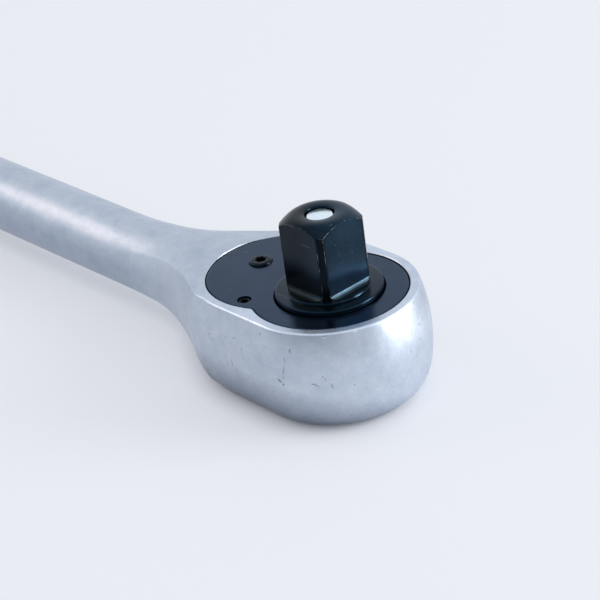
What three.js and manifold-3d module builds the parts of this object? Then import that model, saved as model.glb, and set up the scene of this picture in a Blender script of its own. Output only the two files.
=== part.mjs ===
// A long reversible socket ratchet with a half-inch square drive, lying on the back of its head.
// Millimetres. The drive turns about a vertical axis, the handle runs towards -X, and the origin is
// the centre of the footprint on the surface that the tool lies on.
import * as THREE from "three";
import { mergeVertices } from "three/addons/utils/BufferGeometryUtils.js";
import Module from "manifold-3d";

const wasm = await Module();
wasm.setup();

// Whole tool
const LENGTH = 400;
const HANDLE_RADIUS = 8.15;
const HANDLE_AXIS_HEIGHT = 11.6;
const GRIP_LENGTH = 115;
const GRIP_STEP = 1.25;
const GRIP_TAPER = 3;
const GRIP_END = 9;
const KNURL_PITCH = 3.3;
const KNURL_DEPTH = 0.4;
const END_ROUNDING = 4.5;

// Square drive
const SQUARE_FLATS = 12.7;
const CORNER_PROUD = 1.95;
const SQUARE_LENGTH = 15.5;
const BASE_STEP = 0.65;
const TIP_INSET = 0.6;
const TIP_DROP = 1.9;
const COLLAR_WIDTH = 2.7;
const COLLAR_STAND = 0.85;
const COLLAR_CHAMFER = 0.35;

// Gear under the collar, and the journal under the gear
const GEAR_SHOULDER = 2.3;
const GEAR_HEIGHT = 12.25;
const TOOTH_COUNT = 36;
const TOOTH_DEPTH = 1.15;
const TOOTH_LAND = 0.5;
const TOOTH_FLANK = THREE.MathUtils.degToRad(30);
const JOURNAL_RADIUS = 7.6;
const JOURNAL_RECESS = 0.5;
const SEAL_RADIUS = 0.55;
const SEAL_HEIGHT = 3.6;
const WASHER_THICKNESS = 0.5;

// Head
const FLOOR_THICKNESS = 7;
const LOBE_SPACING = 14;
const LEDGE_WIDTH = 2.47;
const WAIST_FILLET = 1.1;
const RIM_WALL = 2;
const RIM_CHAMFER = 0.3;
const BULGE = 1.44;
const BULGE_HEIGHT = 12.8;
const BACK_ROUNDING = 6.6;
const BACK_FULLNESS = 0.72;
const LOBE_TURN = THREE.MathUtils.degToRad(40);
const NECK_LENGTH = 37;
const NECK_FLARE = 0.5;
const NECK_BLEND = 16;
const NECK_ROUNDING_START = 2;
const NECK_ROUNDING_LENGTH = 52;
const NECK_UNDERCUT_START = 12;
const NECK_UNDERCUT_LENGTH = 23;

// Cover plate and its screw
const PLATE_THICKNESS = 2.05;
const PLATE_SINK = 0.25;
const SCREW_SETBACK = 6.9;
const SCREW_RADIUS = 1.25;
const SCREW_DEPTH = 6;
const SCREW_HEAD_RADIUS = 2.4;
const SCREW_HEAD_HEIGHT = 1.3;
const SCREW_HEAD_STAND = 0.55;
const SCREW_SOCKET_RADIUS = 1.2;
const SCREW_SOCKET_DEPTH = 0.8;
const SCREW_SOCKET_SIDES = 6;

// Pawls, their slotted pins and their springs
const PAWL_BOSS_RADIUS = 2.6;
const PAWL_BOSS_GAP = 1.3;
const PAWL_WIDTH = 2.35;
const PAWL_PIN_RADIUS = 1.3;
const PAWL_PIN_WALL = 0.55;
const PAWL_PIN_SLOT = THREE.MathUtils.degToRad(50);
const PAWL_PIN_DEPTH = 4;
const PAWL_PIVOT_ANGLE = THREE.MathUtils.degToRad(131.9);
const PAWL_HEEL_ANGLE = THREE.MathUtils.degToRad(134);
const NOSE_START_ANGLE = THREE.MathUtils.degToRad(152);
const NOSE_END_ANGLE = THREE.MathUtils.degToRad(168);
const PAWL_TAIL_ANGLE = THREE.MathUtils.degToRad(177);
const PAWL_LIFT = THREE.MathUtils.degToRad(12);
const PAWL_SPRING_RADIUS = 1.4;
const PAWL_SPRING_WIRE = 0.25;
const PAWL_SPRING_OFFSET = 6.3;
const PAWL_SPRING_DEPTH = 3.6;
const PAWL_SPRING_TURNS = 4;
const POCKET_CORNER_RADIUS = 3.2;

// Reversing lever under the head, with the cam that lifts one pawl or the other
const PEG_RADIUS = 0.75;
const PEG_ORBIT = 1.9;
const CAM_HUB_RADIUS = 2;
const CAM_THICKNESS = 1;
const STEM_RADIUS = 1.7;
const STEM_NECK_RADIUS = 1.2;
const STEM_FLAT = 0.85;
const CLIP_RADIUS = 1.85;
const CLIP_THICKNESS = 0.45;
const CLIP_GROOVE = 0.3;
const CLIP_OPENING = THREE.MathUtils.degToRad(50);
const LEVER_SWING = THREE.MathUtils.degToRad(90);
const LEVER_HUB_RADIUS = 5.6;
const LEVER_THICKNESS = 3;
const LEVER_RECESS = 0.35;
const LEVER_REACH = 13.2;
const LEVER_TAB_WIDTH = 5;
const DETENT_ORBIT = 3.9;
const DETENT_BALL_RADIUS = 1;
const DETENT_GROOVE = 0.5;
const DETENT_SPRING_WIRE = 0.18;
const DETENT_SPRING_LENGTH = 3.6;
const DETENT_SPRING_TURNS = 4;

// Socket release: pin through the drive, button in the back, lock ball in the side of the square
const PIN_RADIUS = 2.7;
const PIN_RECESS = 0.4;
const PIN_MOUTH = 0.25;
const ROD_RADIUS = 1.9;
const BALL_RADIUS = 2.1;
const BALL_PROUD = 0.9;
const BALL_DROP = 7.3;
const RELEASE_TRAVEL = 2.7;
const BALL_RATIO = 0.35;
const RAMP_LEAD = 0.4;
const BUTTON_RADIUS = 4.5;
const BUTTON_HEIGHT = 2.2;
const BUTTON_RECESS = 0.3;
const RELEASE_SPRING_RADIUS = 3.2;
const RELEASE_SPRING_WIRE = 0.4;
const RELEASE_SPRING_LENGTH = 7.5;
const RELEASE_SPRING_TURNS = 5;

// Clearances
const RUNNING_GAP = 0.25;
const STACK_GAP = 0.2;
const SEAT_GAP = 0.1;
const MESH_GAP = 0.25;
const TOOTH_GAP = 0.35;
const CAVITY_GAP = 0.4;
const CUT_OVERRUN = 1;

// Facets
const ROUND_SIDES = 36;
const SMALL_SIDES = 12;
const WIRE_SIDES = 6;
const TURN_STEPS = 8;
const ARC_STEPS = 6;
const NECK_STEPS = 20;
const SIDE_STEPS = 4;
const BACK_STEPS = 7;
const SECTION_STEP = THREE.MathUtils.degToRad(9);
const MERGE_TOLERANCE = 1e-4;

// Heights from the back of the head upwards
const washerBottom = FLOOR_THICKNESS + STACK_GAP;
const washerTop = washerBottom + WASHER_THICKNESS;
const gearBottom = washerTop + STACK_GAP;
const gearTop = gearBottom + GEAR_HEIGHT;
const plateBottom = gearTop + STACK_GAP;
const plateTop = plateBottom + PLATE_THICKNESS;
const ledgeHeight = plateBottom - SEAT_GAP;
const headHeight = plateTop + PLATE_SINK;
const collarTop = headHeight + COLLAR_STAND;
const squareBottom = collarTop + BASE_STEP;
const driveTip = squareBottom + SQUARE_LENGTH;
const screwBottom = plateBottom - SCREW_DEPTH;
const screwSeat = plateTop + SCREW_HEAD_STAND - SCREW_HEAD_HEIGHT;
const pinBottom = FLOOR_THICKNESS - PAWL_PIN_DEPTH;

// Radii from the drive axis outwards
const barRadius = SQUARE_FLATS / 2 + CORNER_PROUD;
const collarRadius = barRadius + COLLAR_WIDTH;
const gearRadius = collarRadius + GEAR_SHOULDER;
const rootRadius = gearRadius - TOOTH_DEPTH;
const cavityRadius = gearRadius + CAVITY_GAP;
const recessRadius = cavityRadius + LEDGE_WIDTH;
const rimRadius = recessRadius + RIM_WALL;
const bulgeRadius = rimRadius + BULGE;
const backRadius = bulgeRadius - BACK_ROUNDING;

// Places along the handle
const endX = bulgeRadius - LENGTH;
const gripEndX = endX + GRIP_END;
const gripStartX = gripEndX + GRIP_LENGTH;
const neckStartX = -LOBE_SPACING - rimRadius;
const neckEndX = neckStartX - NECK_LENGTH;
const roundingStartX = -LOBE_SPACING - NECK_ROUNDING_START;
const roundingEndX = roundingStartX - NECK_ROUNDING_LENGTH;
const undercutStartX = -LOBE_SPACING - NECK_UNDERCUT_START;
const undercutEndX = undercutStartX - NECK_UNDERCUT_LENGTH;
const screwX = -LOBE_SPACING - SCREW_SETBACK;
const selectorX = -(gearRadius + TOOTH_GAP + PEG_RADIUS + PEG_ORBIT);
const pivotRadius = gearRadius + PAWL_BOSS_GAP + PAWL_BOSS_RADIUS;
const pivotX = pivotRadius * Math.cos(PAWL_PIVOT_ANGLE);
const pivotY = pivotRadius * Math.sin(PAWL_PIVOT_ANGLE);
const pocketX = selectorX - CAM_HUB_RADIUS - RUNNING_GAP;
const pawlInner = gearRadius + TOOTH_GAP;
const pawlOuter = pawlInner + PAWL_WIDTH;
const springSeatX = pocketX - PAWL_SPRING_DEPTH;
const detentX = selectorX - DETENT_ORBIT;

// Heights of the reversing gear
const leverBottom = LEVER_RECESS;
const leverTop = leverBottom + LEVER_THICKNESS;
const leverRoof = leverTop + RUNNING_GAP;
const camBottom = FLOOR_THICKNESS + RUNNING_GAP;
const camTop = camBottom + CAM_THICKNESS;
const clipBottom = camTop + SEAT_GAP;
const clipTop = clipBottom + CLIP_THICKNESS;
const stemTop = clipTop + CLIP_GROOVE;
const pawlBottom = stemTop + RUNNING_GAP;
const pawlTop = gearTop;
const pegTop = pawlTop - RUNNING_GAP;
const pawlSpringHeight = (pawlBottom + pawlTop) / 2;
const detentHeight = leverTop - DETENT_GROOVE + RUNNING_GAP + DETENT_BALL_RADIUS;
const detentSpringBottom = detentHeight + DETENT_BALL_RADIUS + SEAT_GAP;
const detentSpringTop = detentSpringBottom + DETENT_SPRING_LENGTH;

// Heights of the socket release
const ballHeight = driveTip - BALL_DROP;
const ballCentre = SQUARE_FLATS / 2 + BALL_PROUD - BALL_RADIUS;
const pinTop = driveTip - PIN_RECESS;
const pinBore = PIN_RADIUS + RUNNING_GAP;
const rodBore = ROD_RADIUS + RUNNING_GAP;
const rampTop = ballHeight + RAMP_LEAD;
const rampBottom = rampTop - RELEASE_TRAVEL - RAMP_LEAD;
const rampRadius = PIN_RADIUS - BALL_RATIO * (rampTop - rampBottom);
const grooveBottom = rampBottom - BALL_RADIUS;
const landBottom = collarTop;
const stepHeight = landBottom - RUNNING_GAP;
const journalBottom = JOURNAL_RECESS;
const buttonBottom = journalBottom + BUTTON_RECESS;
const buttonTop = buttonBottom + BUTTON_HEIGHT;
const wellRadius = BUTTON_RADIUS + RUNNING_GAP;
const springBottom = buttonTop + SEAT_GAP;
const springTop = springBottom + RELEASE_SPRING_LENGTH;
const wellTop = springTop + SEAT_GAP;

// Turns a closed geometry into a solid for joining and cutting.
function solid(geometry) {
  const bare = new THREE.BufferGeometry();
  bare.setAttribute("position", geometry.getAttribute("position"));
  bare.setIndex(geometry.index);
  const merged = mergeVertices(bare, MERGE_TOLERANCE);
  const triangles = [];
  for (let i = 0; i < merged.index.count; i += 3) {
    const [a, b, c] = [merged.index.getX(i), merged.index.getX(i + 1), merged.index.getX(i + 2)];
    if (a !== b && b !== c && c !== a) triangles.push(a, b, c);
  }
  return new wasm.Manifold(new wasm.Mesh({
    numProp: 3,
    vertProperties: new Float32Array(merged.getAttribute("position").array),
    triVerts: new Uint32Array(triangles),
  }));
}

function joined(...geometries) {
  return geometries.map(solid).reduce((whole, piece) => whole.add(piece));
}

function cutBy(body, ...geometries) {
  return geometries.map(solid).reduce((left, piece) => left.subtract(piece), body);
}

function geometryOf(body) {
  const mesh = body.getMesh();
  const geometry = new THREE.BufferGeometry();
  geometry.setAttribute("position", new THREE.BufferAttribute(mesh.vertProperties, 3));
  geometry.setIndex(new THREE.BufferAttribute(mesh.triVerts, 1));
  geometry.computeVertexNormals();
  return geometry;
}

// A round bar standing on end between two heights.
function bar(radius, bottom, top, x = 0, y = 0, sides = SMALL_SIDES) {
  const geometry = new THREE.CylinderGeometry(radius, radius, top - bottom, sides);
  geometry.rotateX(Math.PI / 2);
  geometry.translate(x, y, (bottom + top) / 2);
  return geometry;
}

// A flat outline drawn up between two heights.
function prism(shape, bottom, top, steps = ARC_STEPS) {
  const geometry = new THREE.ExtrudeGeometry(shape, {
    depth: top - bottom,
    bevelEnabled: false,
    curveSegments: steps,
  });
  geometry.translate(0, 0, bottom);
  return geometry;
}

// A turned piece from a closed profile of [radius, height] points, run anticlockwise.
function turned(profile, sides = ROUND_SIDES) {
  const points = profile.map(([radius, height]) => new THREE.Vector2(radius, height));
  const geometry = new THREE.LatheGeometry(points, sides);
  geometry.rotateX(Math.PI / 2);
  return geometry;
}

function closedProfile(...corners) {
  return [...corners, corners[0]];
}

// A slice of a ring about the Z axis, or of a disc where the inner radius is nought.
function sector(inner, outer, start, end) {
  const shape = new THREE.Shape();
  shape.absarc(0, 0, outer, start, end);
  if (inner > 0) shape.absarc(0, 0, inner, end, start, true);
  else shape.lineTo(0, 0);
  return shape;
}

// The two-lobed outline of the cover plate's seat, with a rounded waist, or of the plate a gap inside it.
function lobedOutline(gap = 0) {
  const reach = recessRadius + WAIST_FILLET;
  const turn = Math.acos(-LOBE_SPACING / 2 / reach);
  const waistY = reach * Math.sin(turn);
  const lobe = recessRadius - gap;
  const fillet = WAIST_FILLET + gap;
  const shape = new THREE.Shape();
  shape.absarc(0, 0, lobe, -turn, turn);
  shape.absarc(-LOBE_SPACING / 2, waistY, fillet, turn - Math.PI, -turn, true);
  shape.absarc(-LOBE_SPACING, 0, lobe, Math.PI - turn, Math.PI + turn);
  shape.absarc(-LOBE_SPACING / 2, -waistY, fillet, turn, Math.PI - turn, true);
  return shape;
}

// The outline that a band would take round a row of circles, given anticlockwise as [x, y, radius].
function bandOutline(circles) {
  const shape = new THREE.Shape();
  const leaving = circles.map(([x, y, radius], i) => {
    const [nextX, nextY, nextRadius] = circles[(i + 1) % circles.length];
    const [dx, dy] = [nextX - x, nextY - y];
    return Math.atan2(dy, dx) - Math.acos((radius - nextRadius) / Math.hypot(dx, dy));
  });
  circles.forEach(([x, y, radius], i) => {
    const arriving = leaving[(i + circles.length - 1) % circles.length];
    shape.absarc(x, y, radius, arriving, leaving[i]);
  });
  return shape;
}

// A wire coil round the Z axis, from z = 0 up to its length.
class Coil extends THREE.Curve {
  constructor(radius, length, turns) {
    super();
    Object.assign(this, { radius, length, turns });
  }

  getPoint(t, target = new THREE.Vector3()) {
    const angle = 2 * Math.PI * this.turns * t;
    return target.set(this.radius * Math.cos(angle), this.radius * Math.sin(angle), this.length * t);
  }
}

function spring(outerRadius, wireRadius, length, turns) {
  const section = new THREE.Shape();
  section.absarc(0, 0, wireRadius, 0, 2 * Math.PI);
  const geometry = new THREE.ExtrudeGeometry(section, {
    extrudePath: new Coil(outerRadius - wireRadius, length - 2 * wireRadius, turns),
    steps: turns * TURN_STEPS,
    curveSegments: WIRE_SIDES / 2,
    bevelEnabled: false,
  });
  geometry.translate(0, 0, wireRadius);
  return geometry;
}

// The gear's outline, or the same outline grown by a clearance.
function gearOutline(growth = 0) {
  const pitch = 2 * Math.PI / TOOTH_COUNT;
  const widening = growth / Math.cos(TOOTH_FLANK) - growth * Math.tan(TOOTH_FLANK);
  const tipHalf = (TOOTH_LAND / 2 + widening) / (gearRadius + growth);
  const footLand = TOOTH_LAND + 2 * TOOTH_DEPTH * Math.tan(TOOTH_FLANK);
  const footHalf = (footLand / 2 + widening) / (rootRadius + growth);
  const points = [];
  for (let tooth = 0; tooth < TOOTH_COUNT; tooth += 1) {
    const middle = (2 * tooth + 1) * pitch / 2;
    const corners = [
      [rootRadius + growth, middle - footHalf],
      [gearRadius + growth, middle - tipHalf],
      [gearRadius + growth, middle + tipHalf],
      [rootRadius + growth, middle + footHalf],
    ];
    for (const [radius, angle] of corners) {
      points.push(new THREE.Vector2(radius * Math.cos(angle), radius * Math.sin(angle)));
    }
  }
  return new THREE.Shape(points);
}

// Half of the head's cross section, from the middle of its top round the side to the middle of its back.
function headHalfSection() {
  const middle = headHeight / 2;
  const spokes = (radius, height) => {
    const reach = Math.atan2(radius, middle);
    const count = Math.floor(reach / SECTION_STEP);
    const flat = Array.from({ length: count }, (_, i) => middle * Math.tan(reach * i / count));
    return flat.map((across) => new THREE.Vector2(across, height));
  };
  const rise = headHeight - RIM_CHAMFER - BULGE_HEIGHT;
  const sweep = 2 * Math.atan(BULGE / rise);
  const barrel = rise / Math.sin(sweep);
  const side = new THREE.EllipseCurve(bulgeRadius - barrel, BULGE_HEIGHT, barrel, barrel, sweep, 0, true);
  const back = new THREE.CubicBezierCurve(
    new THREE.Vector2(bulgeRadius, BULGE_HEIGHT),
    new THREE.Vector2(bulgeRadius, BULGE_HEIGHT * (1 - BACK_FULLNESS)),
    new THREE.Vector2(backRadius + BACK_ROUNDING * BACK_FULLNESS, 0),
    new THREE.Vector2(backRadius, 0),
  );
  return [
    ...spokes(rimRadius - RIM_CHAMFER, headHeight),
    new THREE.Vector2(rimRadius - RIM_CHAMFER, headHeight),
    ...side.getPoints(SIDE_STEPS),
    ...back.getPoints(BACK_STEPS).slice(1),
    ...spokes(backRadius, 0).reverse(),
  ];
}

// Half width of the forging at its fullest height: the rear lobe runs out straight and blends into the neck.
function halfWidth(x) {
  const behind = Math.min(0, x + LOBE_SPACING);
  const arcEnd = -bulgeRadius * Math.sin(LOBE_TURN);
  const arc = Math.sqrt(bulgeRadius ** 2 - Math.max(behind, arcEnd) ** 2);
  const lobe = arc + Math.min(0, behind - arcEnd) * Math.tan(LOBE_TURN);
  const flare = NECK_FLARE * (1 - THREE.MathUtils.smoothstep(-x, LOBE_SPACING, -neckEndX));
  const neck = HANDLE_RADIUS + flare;
  const reach = NECK_BLEND * THREE.MathUtils.smoothstep(-x, LOBE_SPACING, LOBE_SPACING + NECK_BLEND / 2);
  const blend = Math.max(reach - Math.abs(lobe - neck), 0);
  return Math.max(lobe, neck) + blend ** 2 / (4 * NECK_BLEND);
}

// A closed ring of points across the tool: the head's section eased into an upright oval, then a circle.
function crossSection(x) {
  const fall = THREE.MathUtils.smoothstep(-x, -neckStartX, -neckEndX);
  const under = THREE.MathUtils.smoothstep(-x, -undercutStartX, -undercutEndX);
  const roundness = THREE.MathUtils.smoothstep(-x, -roundingStartX, -roundingEndX);
  const top = THREE.MathUtils.lerp(headHeight, HANDLE_AXIS_HEIGHT + HANDLE_RADIUS, fall);
  const bottom = THREE.MathUtils.lerp(0, HANDLE_AXIS_HEIGHT - HANDLE_RADIUS, under);
  const width = halfWidth(x);
  const half = headHalfSection().map((point) => {
    const angle = Math.atan2(point.y - headHeight / 2, point.x);
    const squareY = point.x * width / bulgeRadius;
    const squareZ = bottom + (top - bottom) * point.y / headHeight;
    const roundY = width * Math.cos(angle);
    const roundZ = (top + bottom) / 2 + (top - bottom) / 2 * Math.sin(angle);
    return [THREE.MathUtils.lerp(squareY, roundY, roundness), THREE.MathUtils.lerp(squareZ, roundZ, roundness)];
  });
  const near = half.slice(1, -1).reverse().map(([y, z]) => new THREE.Vector3(x, -y, z));
  return [...half.map(([y, z]) => new THREE.Vector3(x, y, z)), ...near];
}

// A round cross section of the handle with as many points as the ring it continues.
function handleSection(x, radius) {
  const shrink = radius / HANDLE_RADIUS;
  return crossSection(gripStartX).map((point) => new THREE.Vector3(
    x,
    point.y * shrink,
    HANDLE_AXIS_HEIGHT + (point.z - HANDLE_AXIS_HEIGHT) * shrink,
  ));
}

// A closed skin over rings of points that follow one another along +X. Each four-cornered patch between
// two rings folds along its shorter diagonal.
function skin(rings) {
  const count = rings[0].length;
  const points = rings.flat();
  const triangles = [];
  for (let ring = 0; ring + 1 < rings.length; ring += 1) {
    for (let i = 0; i < count; i += 1) {
      const [a, b] = [ring * count + i, ring * count + (i + 1) % count];
      const [c, d] = [a + count, b + count];
      if (points[a].distanceTo(points[d]) < points[b].distanceTo(points[c])) triangles.push(a, c, d, a, d, b);
      else triangles.push(a, c, b, b, c, d);
    }
  }
  const last = points.length - count;
  for (let i = 1; i + 1 < count; i += 1) {
    triangles.push(0, i, i + 1);
    triangles.push(last, last + i + 1, last + i);
  }
  const geometry = new THREE.BufferGeometry().setFromPoints(points);
  geometry.setIndex(triangles);
  return geometry;
}

// The handle's own stations from its rounded end to the grip's front, as [x, radius].
function handleStations() {
  const stations = [];
  for (let step = 0; step <= ARC_STEPS; step += 1) {
    const angle = step / ARC_STEPS * Math.PI / 2;
    const inset = END_ROUNDING * (1 - Math.sin(angle));
    stations.push([endX + END_ROUNDING * (1 - Math.cos(angle)), HANDLE_RADIUS - inset]);
  }
  stations.push([gripStartX, HANDLE_RADIUS]);
  return stations;
}

// The raised grip: crossed knurling cut as rows of small pyramids, between two tapers that run into the handle.
function knurledGrip() {
  const crest = HANDLE_RADIUS + GRIP_STEP;
  const root = crest - KNURL_DEPTH;
  const foot = HANDLE_RADIUS - GRIP_STEP;
  const first = gripEndX + GRIP_TAPER;
  const last = gripStartX - GRIP_TAPER;
  const columns = 2 * Math.round(2 * Math.PI * crest / KNURL_PITCH);
  const rows = 2 * Math.round((last - first) / KNURL_PITCH);
  const ring = (x, even, odd) => Array.from({ length: columns }, (_, column) => {
    const radius = column % 2 === 0 ? even : odd;
    const angle = 2 * Math.PI * column / columns;
    return new THREE.Vector3(x, radius * Math.cos(angle), HANDLE_AXIS_HEIGHT + radius * Math.sin(angle));
  }).reverse();
  const rings = [ring(gripEndX - GRIP_TAPER, foot, foot), ring(first, root, root)];
  for (let row = 1; row < rows; row += 1) {
    const x = THREE.MathUtils.lerp(first, last, row / rows);
    rings.push(row % 2 === 0 ? ring(x, crest, root) : ring(x, root, crest));
  }
  rings.push(ring(last, root, root), ring(gripStartX + GRIP_TAPER, foot, foot));
  return skin(rings);
}

// The outside of the forging: handle, neck and rear lobe as one skin, the grip and the turned front lobe.
function forgingBlank() {
  const rings = handleStations().map(([x, radius]) => handleSection(x, radius));
  for (let step = 0; step <= NECK_STEPS; step += 1) {
    rings.push(crossSection(THREE.MathUtils.lerp(neckEndX, -LOBE_SPACING, step / NECK_STEPS)));
  }
  rings.push(crossSection(0));
  const front = headHalfSection().reverse().map((point) => [point.x, point.y]);
  return joined(skin(rings), knurledGrip(), turned(front));
}

// The pocket behind the gear for both pawls and the cam.
function pawlPocketOutline() {
  const bossRoom = PAWL_BOSS_RADIUS + RUNNING_GAP;
  const rear = pocketX + POCKET_CORNER_RADIUS;
  return bandOutline([
    [pivotX, pivotY, bossRoom],
    [rear, PAWL_SPRING_OFFSET, POCKET_CORNER_RADIUS],
    [rear, -PAWL_SPRING_OFFSET, POCKET_CORNER_RADIUS],
    [pivotX, -pivotY, bossRoom],
  ]);
}

// The lever's outline about its own axis, with its thumb tab towards -X.
function leverTabOutline(growth = 0) {
  const tip = LEVER_TAB_WIDTH / 2 + growth;
  return bandOutline([
    [-LEVER_REACH + LEVER_TAB_WIDTH / 2, 0, tip],
    [0, 0, tip],
  ]);
}

function leverRecess() {
  const room = sector(0, LEVER_REACH + RUNNING_GAP, Math.PI - LEVER_SWING / 2, Math.PI + LEVER_SWING / 2);
  const tabRoom = [-1, 1].map((side) => {
    const geometry = prism(leverTabOutline(RUNNING_GAP), -CUT_OVERRUN, leverRoof);
    geometry.rotateZ(side * LEVER_SWING / 2);
    return geometry;
  });
  const pieces = [
    bar(LEVER_HUB_RADIUS + RUNNING_GAP, -CUT_OVERRUN, leverRoof, 0, 0, ROUND_SIDES),
    prism(room, -CUT_OVERRUN, leverRoof),
    ...tabRoom,
  ];
  pieces.forEach((piece) => piece.translate(selectorX, 0, 0));
  return pieces;
}

function springWell(side) {
  const geometry = bar(PAWL_SPRING_RADIUS + RUNNING_GAP, springSeatX - SEAT_GAP, pocketX + CUT_OVERRUN);
  geometry.rotateY(Math.PI / 2);
  geometry.translate(0, side * PAWL_SPRING_OFFSET, pawlSpringHeight);
  return geometry;
}

function forgedBody() {
  return geometryOf(cutBy(
    forgingBlank(),
    prism(lobedOutline(), ledgeHeight, headHeight + CUT_OVERRUN, SMALL_SIDES),
    bar(cavityRadius, FLOOR_THICKNESS, headHeight, 0, 0, ROUND_SIDES),
    prism(pawlPocketOutline(), FLOOR_THICKNESS, headHeight),
    bar(JOURNAL_RADIUS + RUNNING_GAP, -CUT_OVERRUN, headHeight, 0, 0, ROUND_SIDES),
    bar(SCREW_RADIUS + RUNNING_GAP, screwBottom - RUNNING_GAP, headHeight, screwX),
    bar(PAWL_PIN_RADIUS + RUNNING_GAP, pinBottom - SEAT_GAP, headHeight, pivotX, pivotY),
    bar(PAWL_PIN_RADIUS + RUNNING_GAP, pinBottom - SEAT_GAP, headHeight, pivotX, -pivotY),
    springWell(-1),
    springWell(1),
    bar(STEM_RADIUS + RUNNING_GAP, 0, headHeight, selectorX),
    bar(DETENT_BALL_RADIUS + RUNNING_GAP, 0, detentSpringTop + SEAT_GAP, detentX),
    ...leverRecess(),
  ));
}

function coverPlate() {
  return geometryOf(cutBy(
    solid(prism(lobedOutline(RUNNING_GAP), plateBottom, plateTop, SMALL_SIDES)),
    bar(collarRadius + RUNNING_GAP, 0, headHeight, 0, 0, ROUND_SIDES),
    bar(SCREW_RADIUS + RUNNING_GAP, 0, headHeight, screwX),
    bar(SCREW_HEAD_RADIUS + RUNNING_GAP, screwSeat - SEAT_GAP, headHeight, screwX),
    bar(PAWL_PIN_RADIUS + RUNNING_GAP, 0, headHeight, pivotX, pivotY),
    bar(PAWL_PIN_RADIUS + RUNNING_GAP, 0, headHeight, pivotX, -pivotY),
  ));
}

function coverScrew() {
  const headTop = screwSeat + SCREW_HEAD_HEIGHT;
  return geometryOf(cutBy(
    joined(bar(SCREW_HEAD_RADIUS, screwSeat, headTop), bar(SCREW_RADIUS, screwBottom, headTop)),
    bar(SCREW_SOCKET_RADIUS, headTop - SCREW_SOCKET_DEPTH, headTop + CUT_OVERRUN, 0, 0, SCREW_SOCKET_SIDES),
  ));
}

// A slotted spring pin: the pivot of one pawl, which also locates the cover plate.
function pawlPin() {
  const inner = PAWL_PIN_RADIUS - PAWL_PIN_WALL;
  const shape = new THREE.Shape();
  shape.absarc(0, 0, PAWL_PIN_RADIUS, PAWL_PIN_SLOT / 2, 2 * Math.PI - PAWL_PIN_SLOT / 2);
  shape.absarc(0, 0, inner, 2 * Math.PI - PAWL_PIN_SLOT / 2, PAWL_PIN_SLOT / 2, true);
  return prism(shape, pinBottom, plateTop - SEAT_GAP);
}

// The pawl on the far side of the handle's line, engaged, in the drive's own frame.
function farPawl() {
  const arm = sector(pawlInner, pawlOuter, PAWL_HEEL_ANGLE, PAWL_TAIL_ANGLE);
  const nose = sector(rootRadius - MESH_GAP, (pawlInner + pawlOuter) / 2, NOSE_START_ANGLE, NOSE_END_ANGLE);
  return cutBy(
    joined(
      prism(arm, pawlBottom, pawlTop),
      prism(nose, pawlBottom, pawlTop),
      bar(PAWL_BOSS_RADIUS, pawlBottom, pawlTop, pivotX, pivotY),
    ),
    prism(gearOutline(MESH_GAP), 0, headHeight),
    bar(PAWL_PIN_RADIUS + RUNNING_GAP, 0, headHeight, pivotX, pivotY),
  );
}

// One pawl about its own pivot: the near one is the far one's mirror image.
function pawl(side) {
  const geometry = geometryOf(farPawl());
  geometry.translate(-pivotX, -pivotY, 0);
  if (side > 0) return geometry;
  geometry.scale(1, -1, 1);
  const index = geometry.index.array;
  for (let i = 0; i < index.length; i += 3) [index[i], index[i + 1]] = [index[i + 1], index[i]];
  geometry.computeVertexNormals();
  return geometry;
}

// The back of a pawl at the height of its spring, measured along the spring for a given lift.
function pawlBackX(lift) {
  const centreAngle = Math.PI + PAWL_PIVOT_ANGLE - lift;
  const centreX = pivotX + pivotRadius * Math.cos(centreAngle);
  const centreY = pivotY + pivotRadius * Math.sin(centreAngle);
  const across = Math.max(0, PAWL_SPRING_OFFSET - PAWL_SPRING_RADIUS - centreY);
  return centreX - Math.sqrt(pawlOuter ** 2 - across ** 2);
}

function pawlSpring(lift) {
  const length = pawlBackX(lift) - SEAT_GAP - springSeatX;
  const geometry = spring(PAWL_SPRING_RADIUS, PAWL_SPRING_WIRE, length, PAWL_SPRING_TURNS);
  geometry.rotateY(Math.PI / 2);
  return geometry;
}

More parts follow.
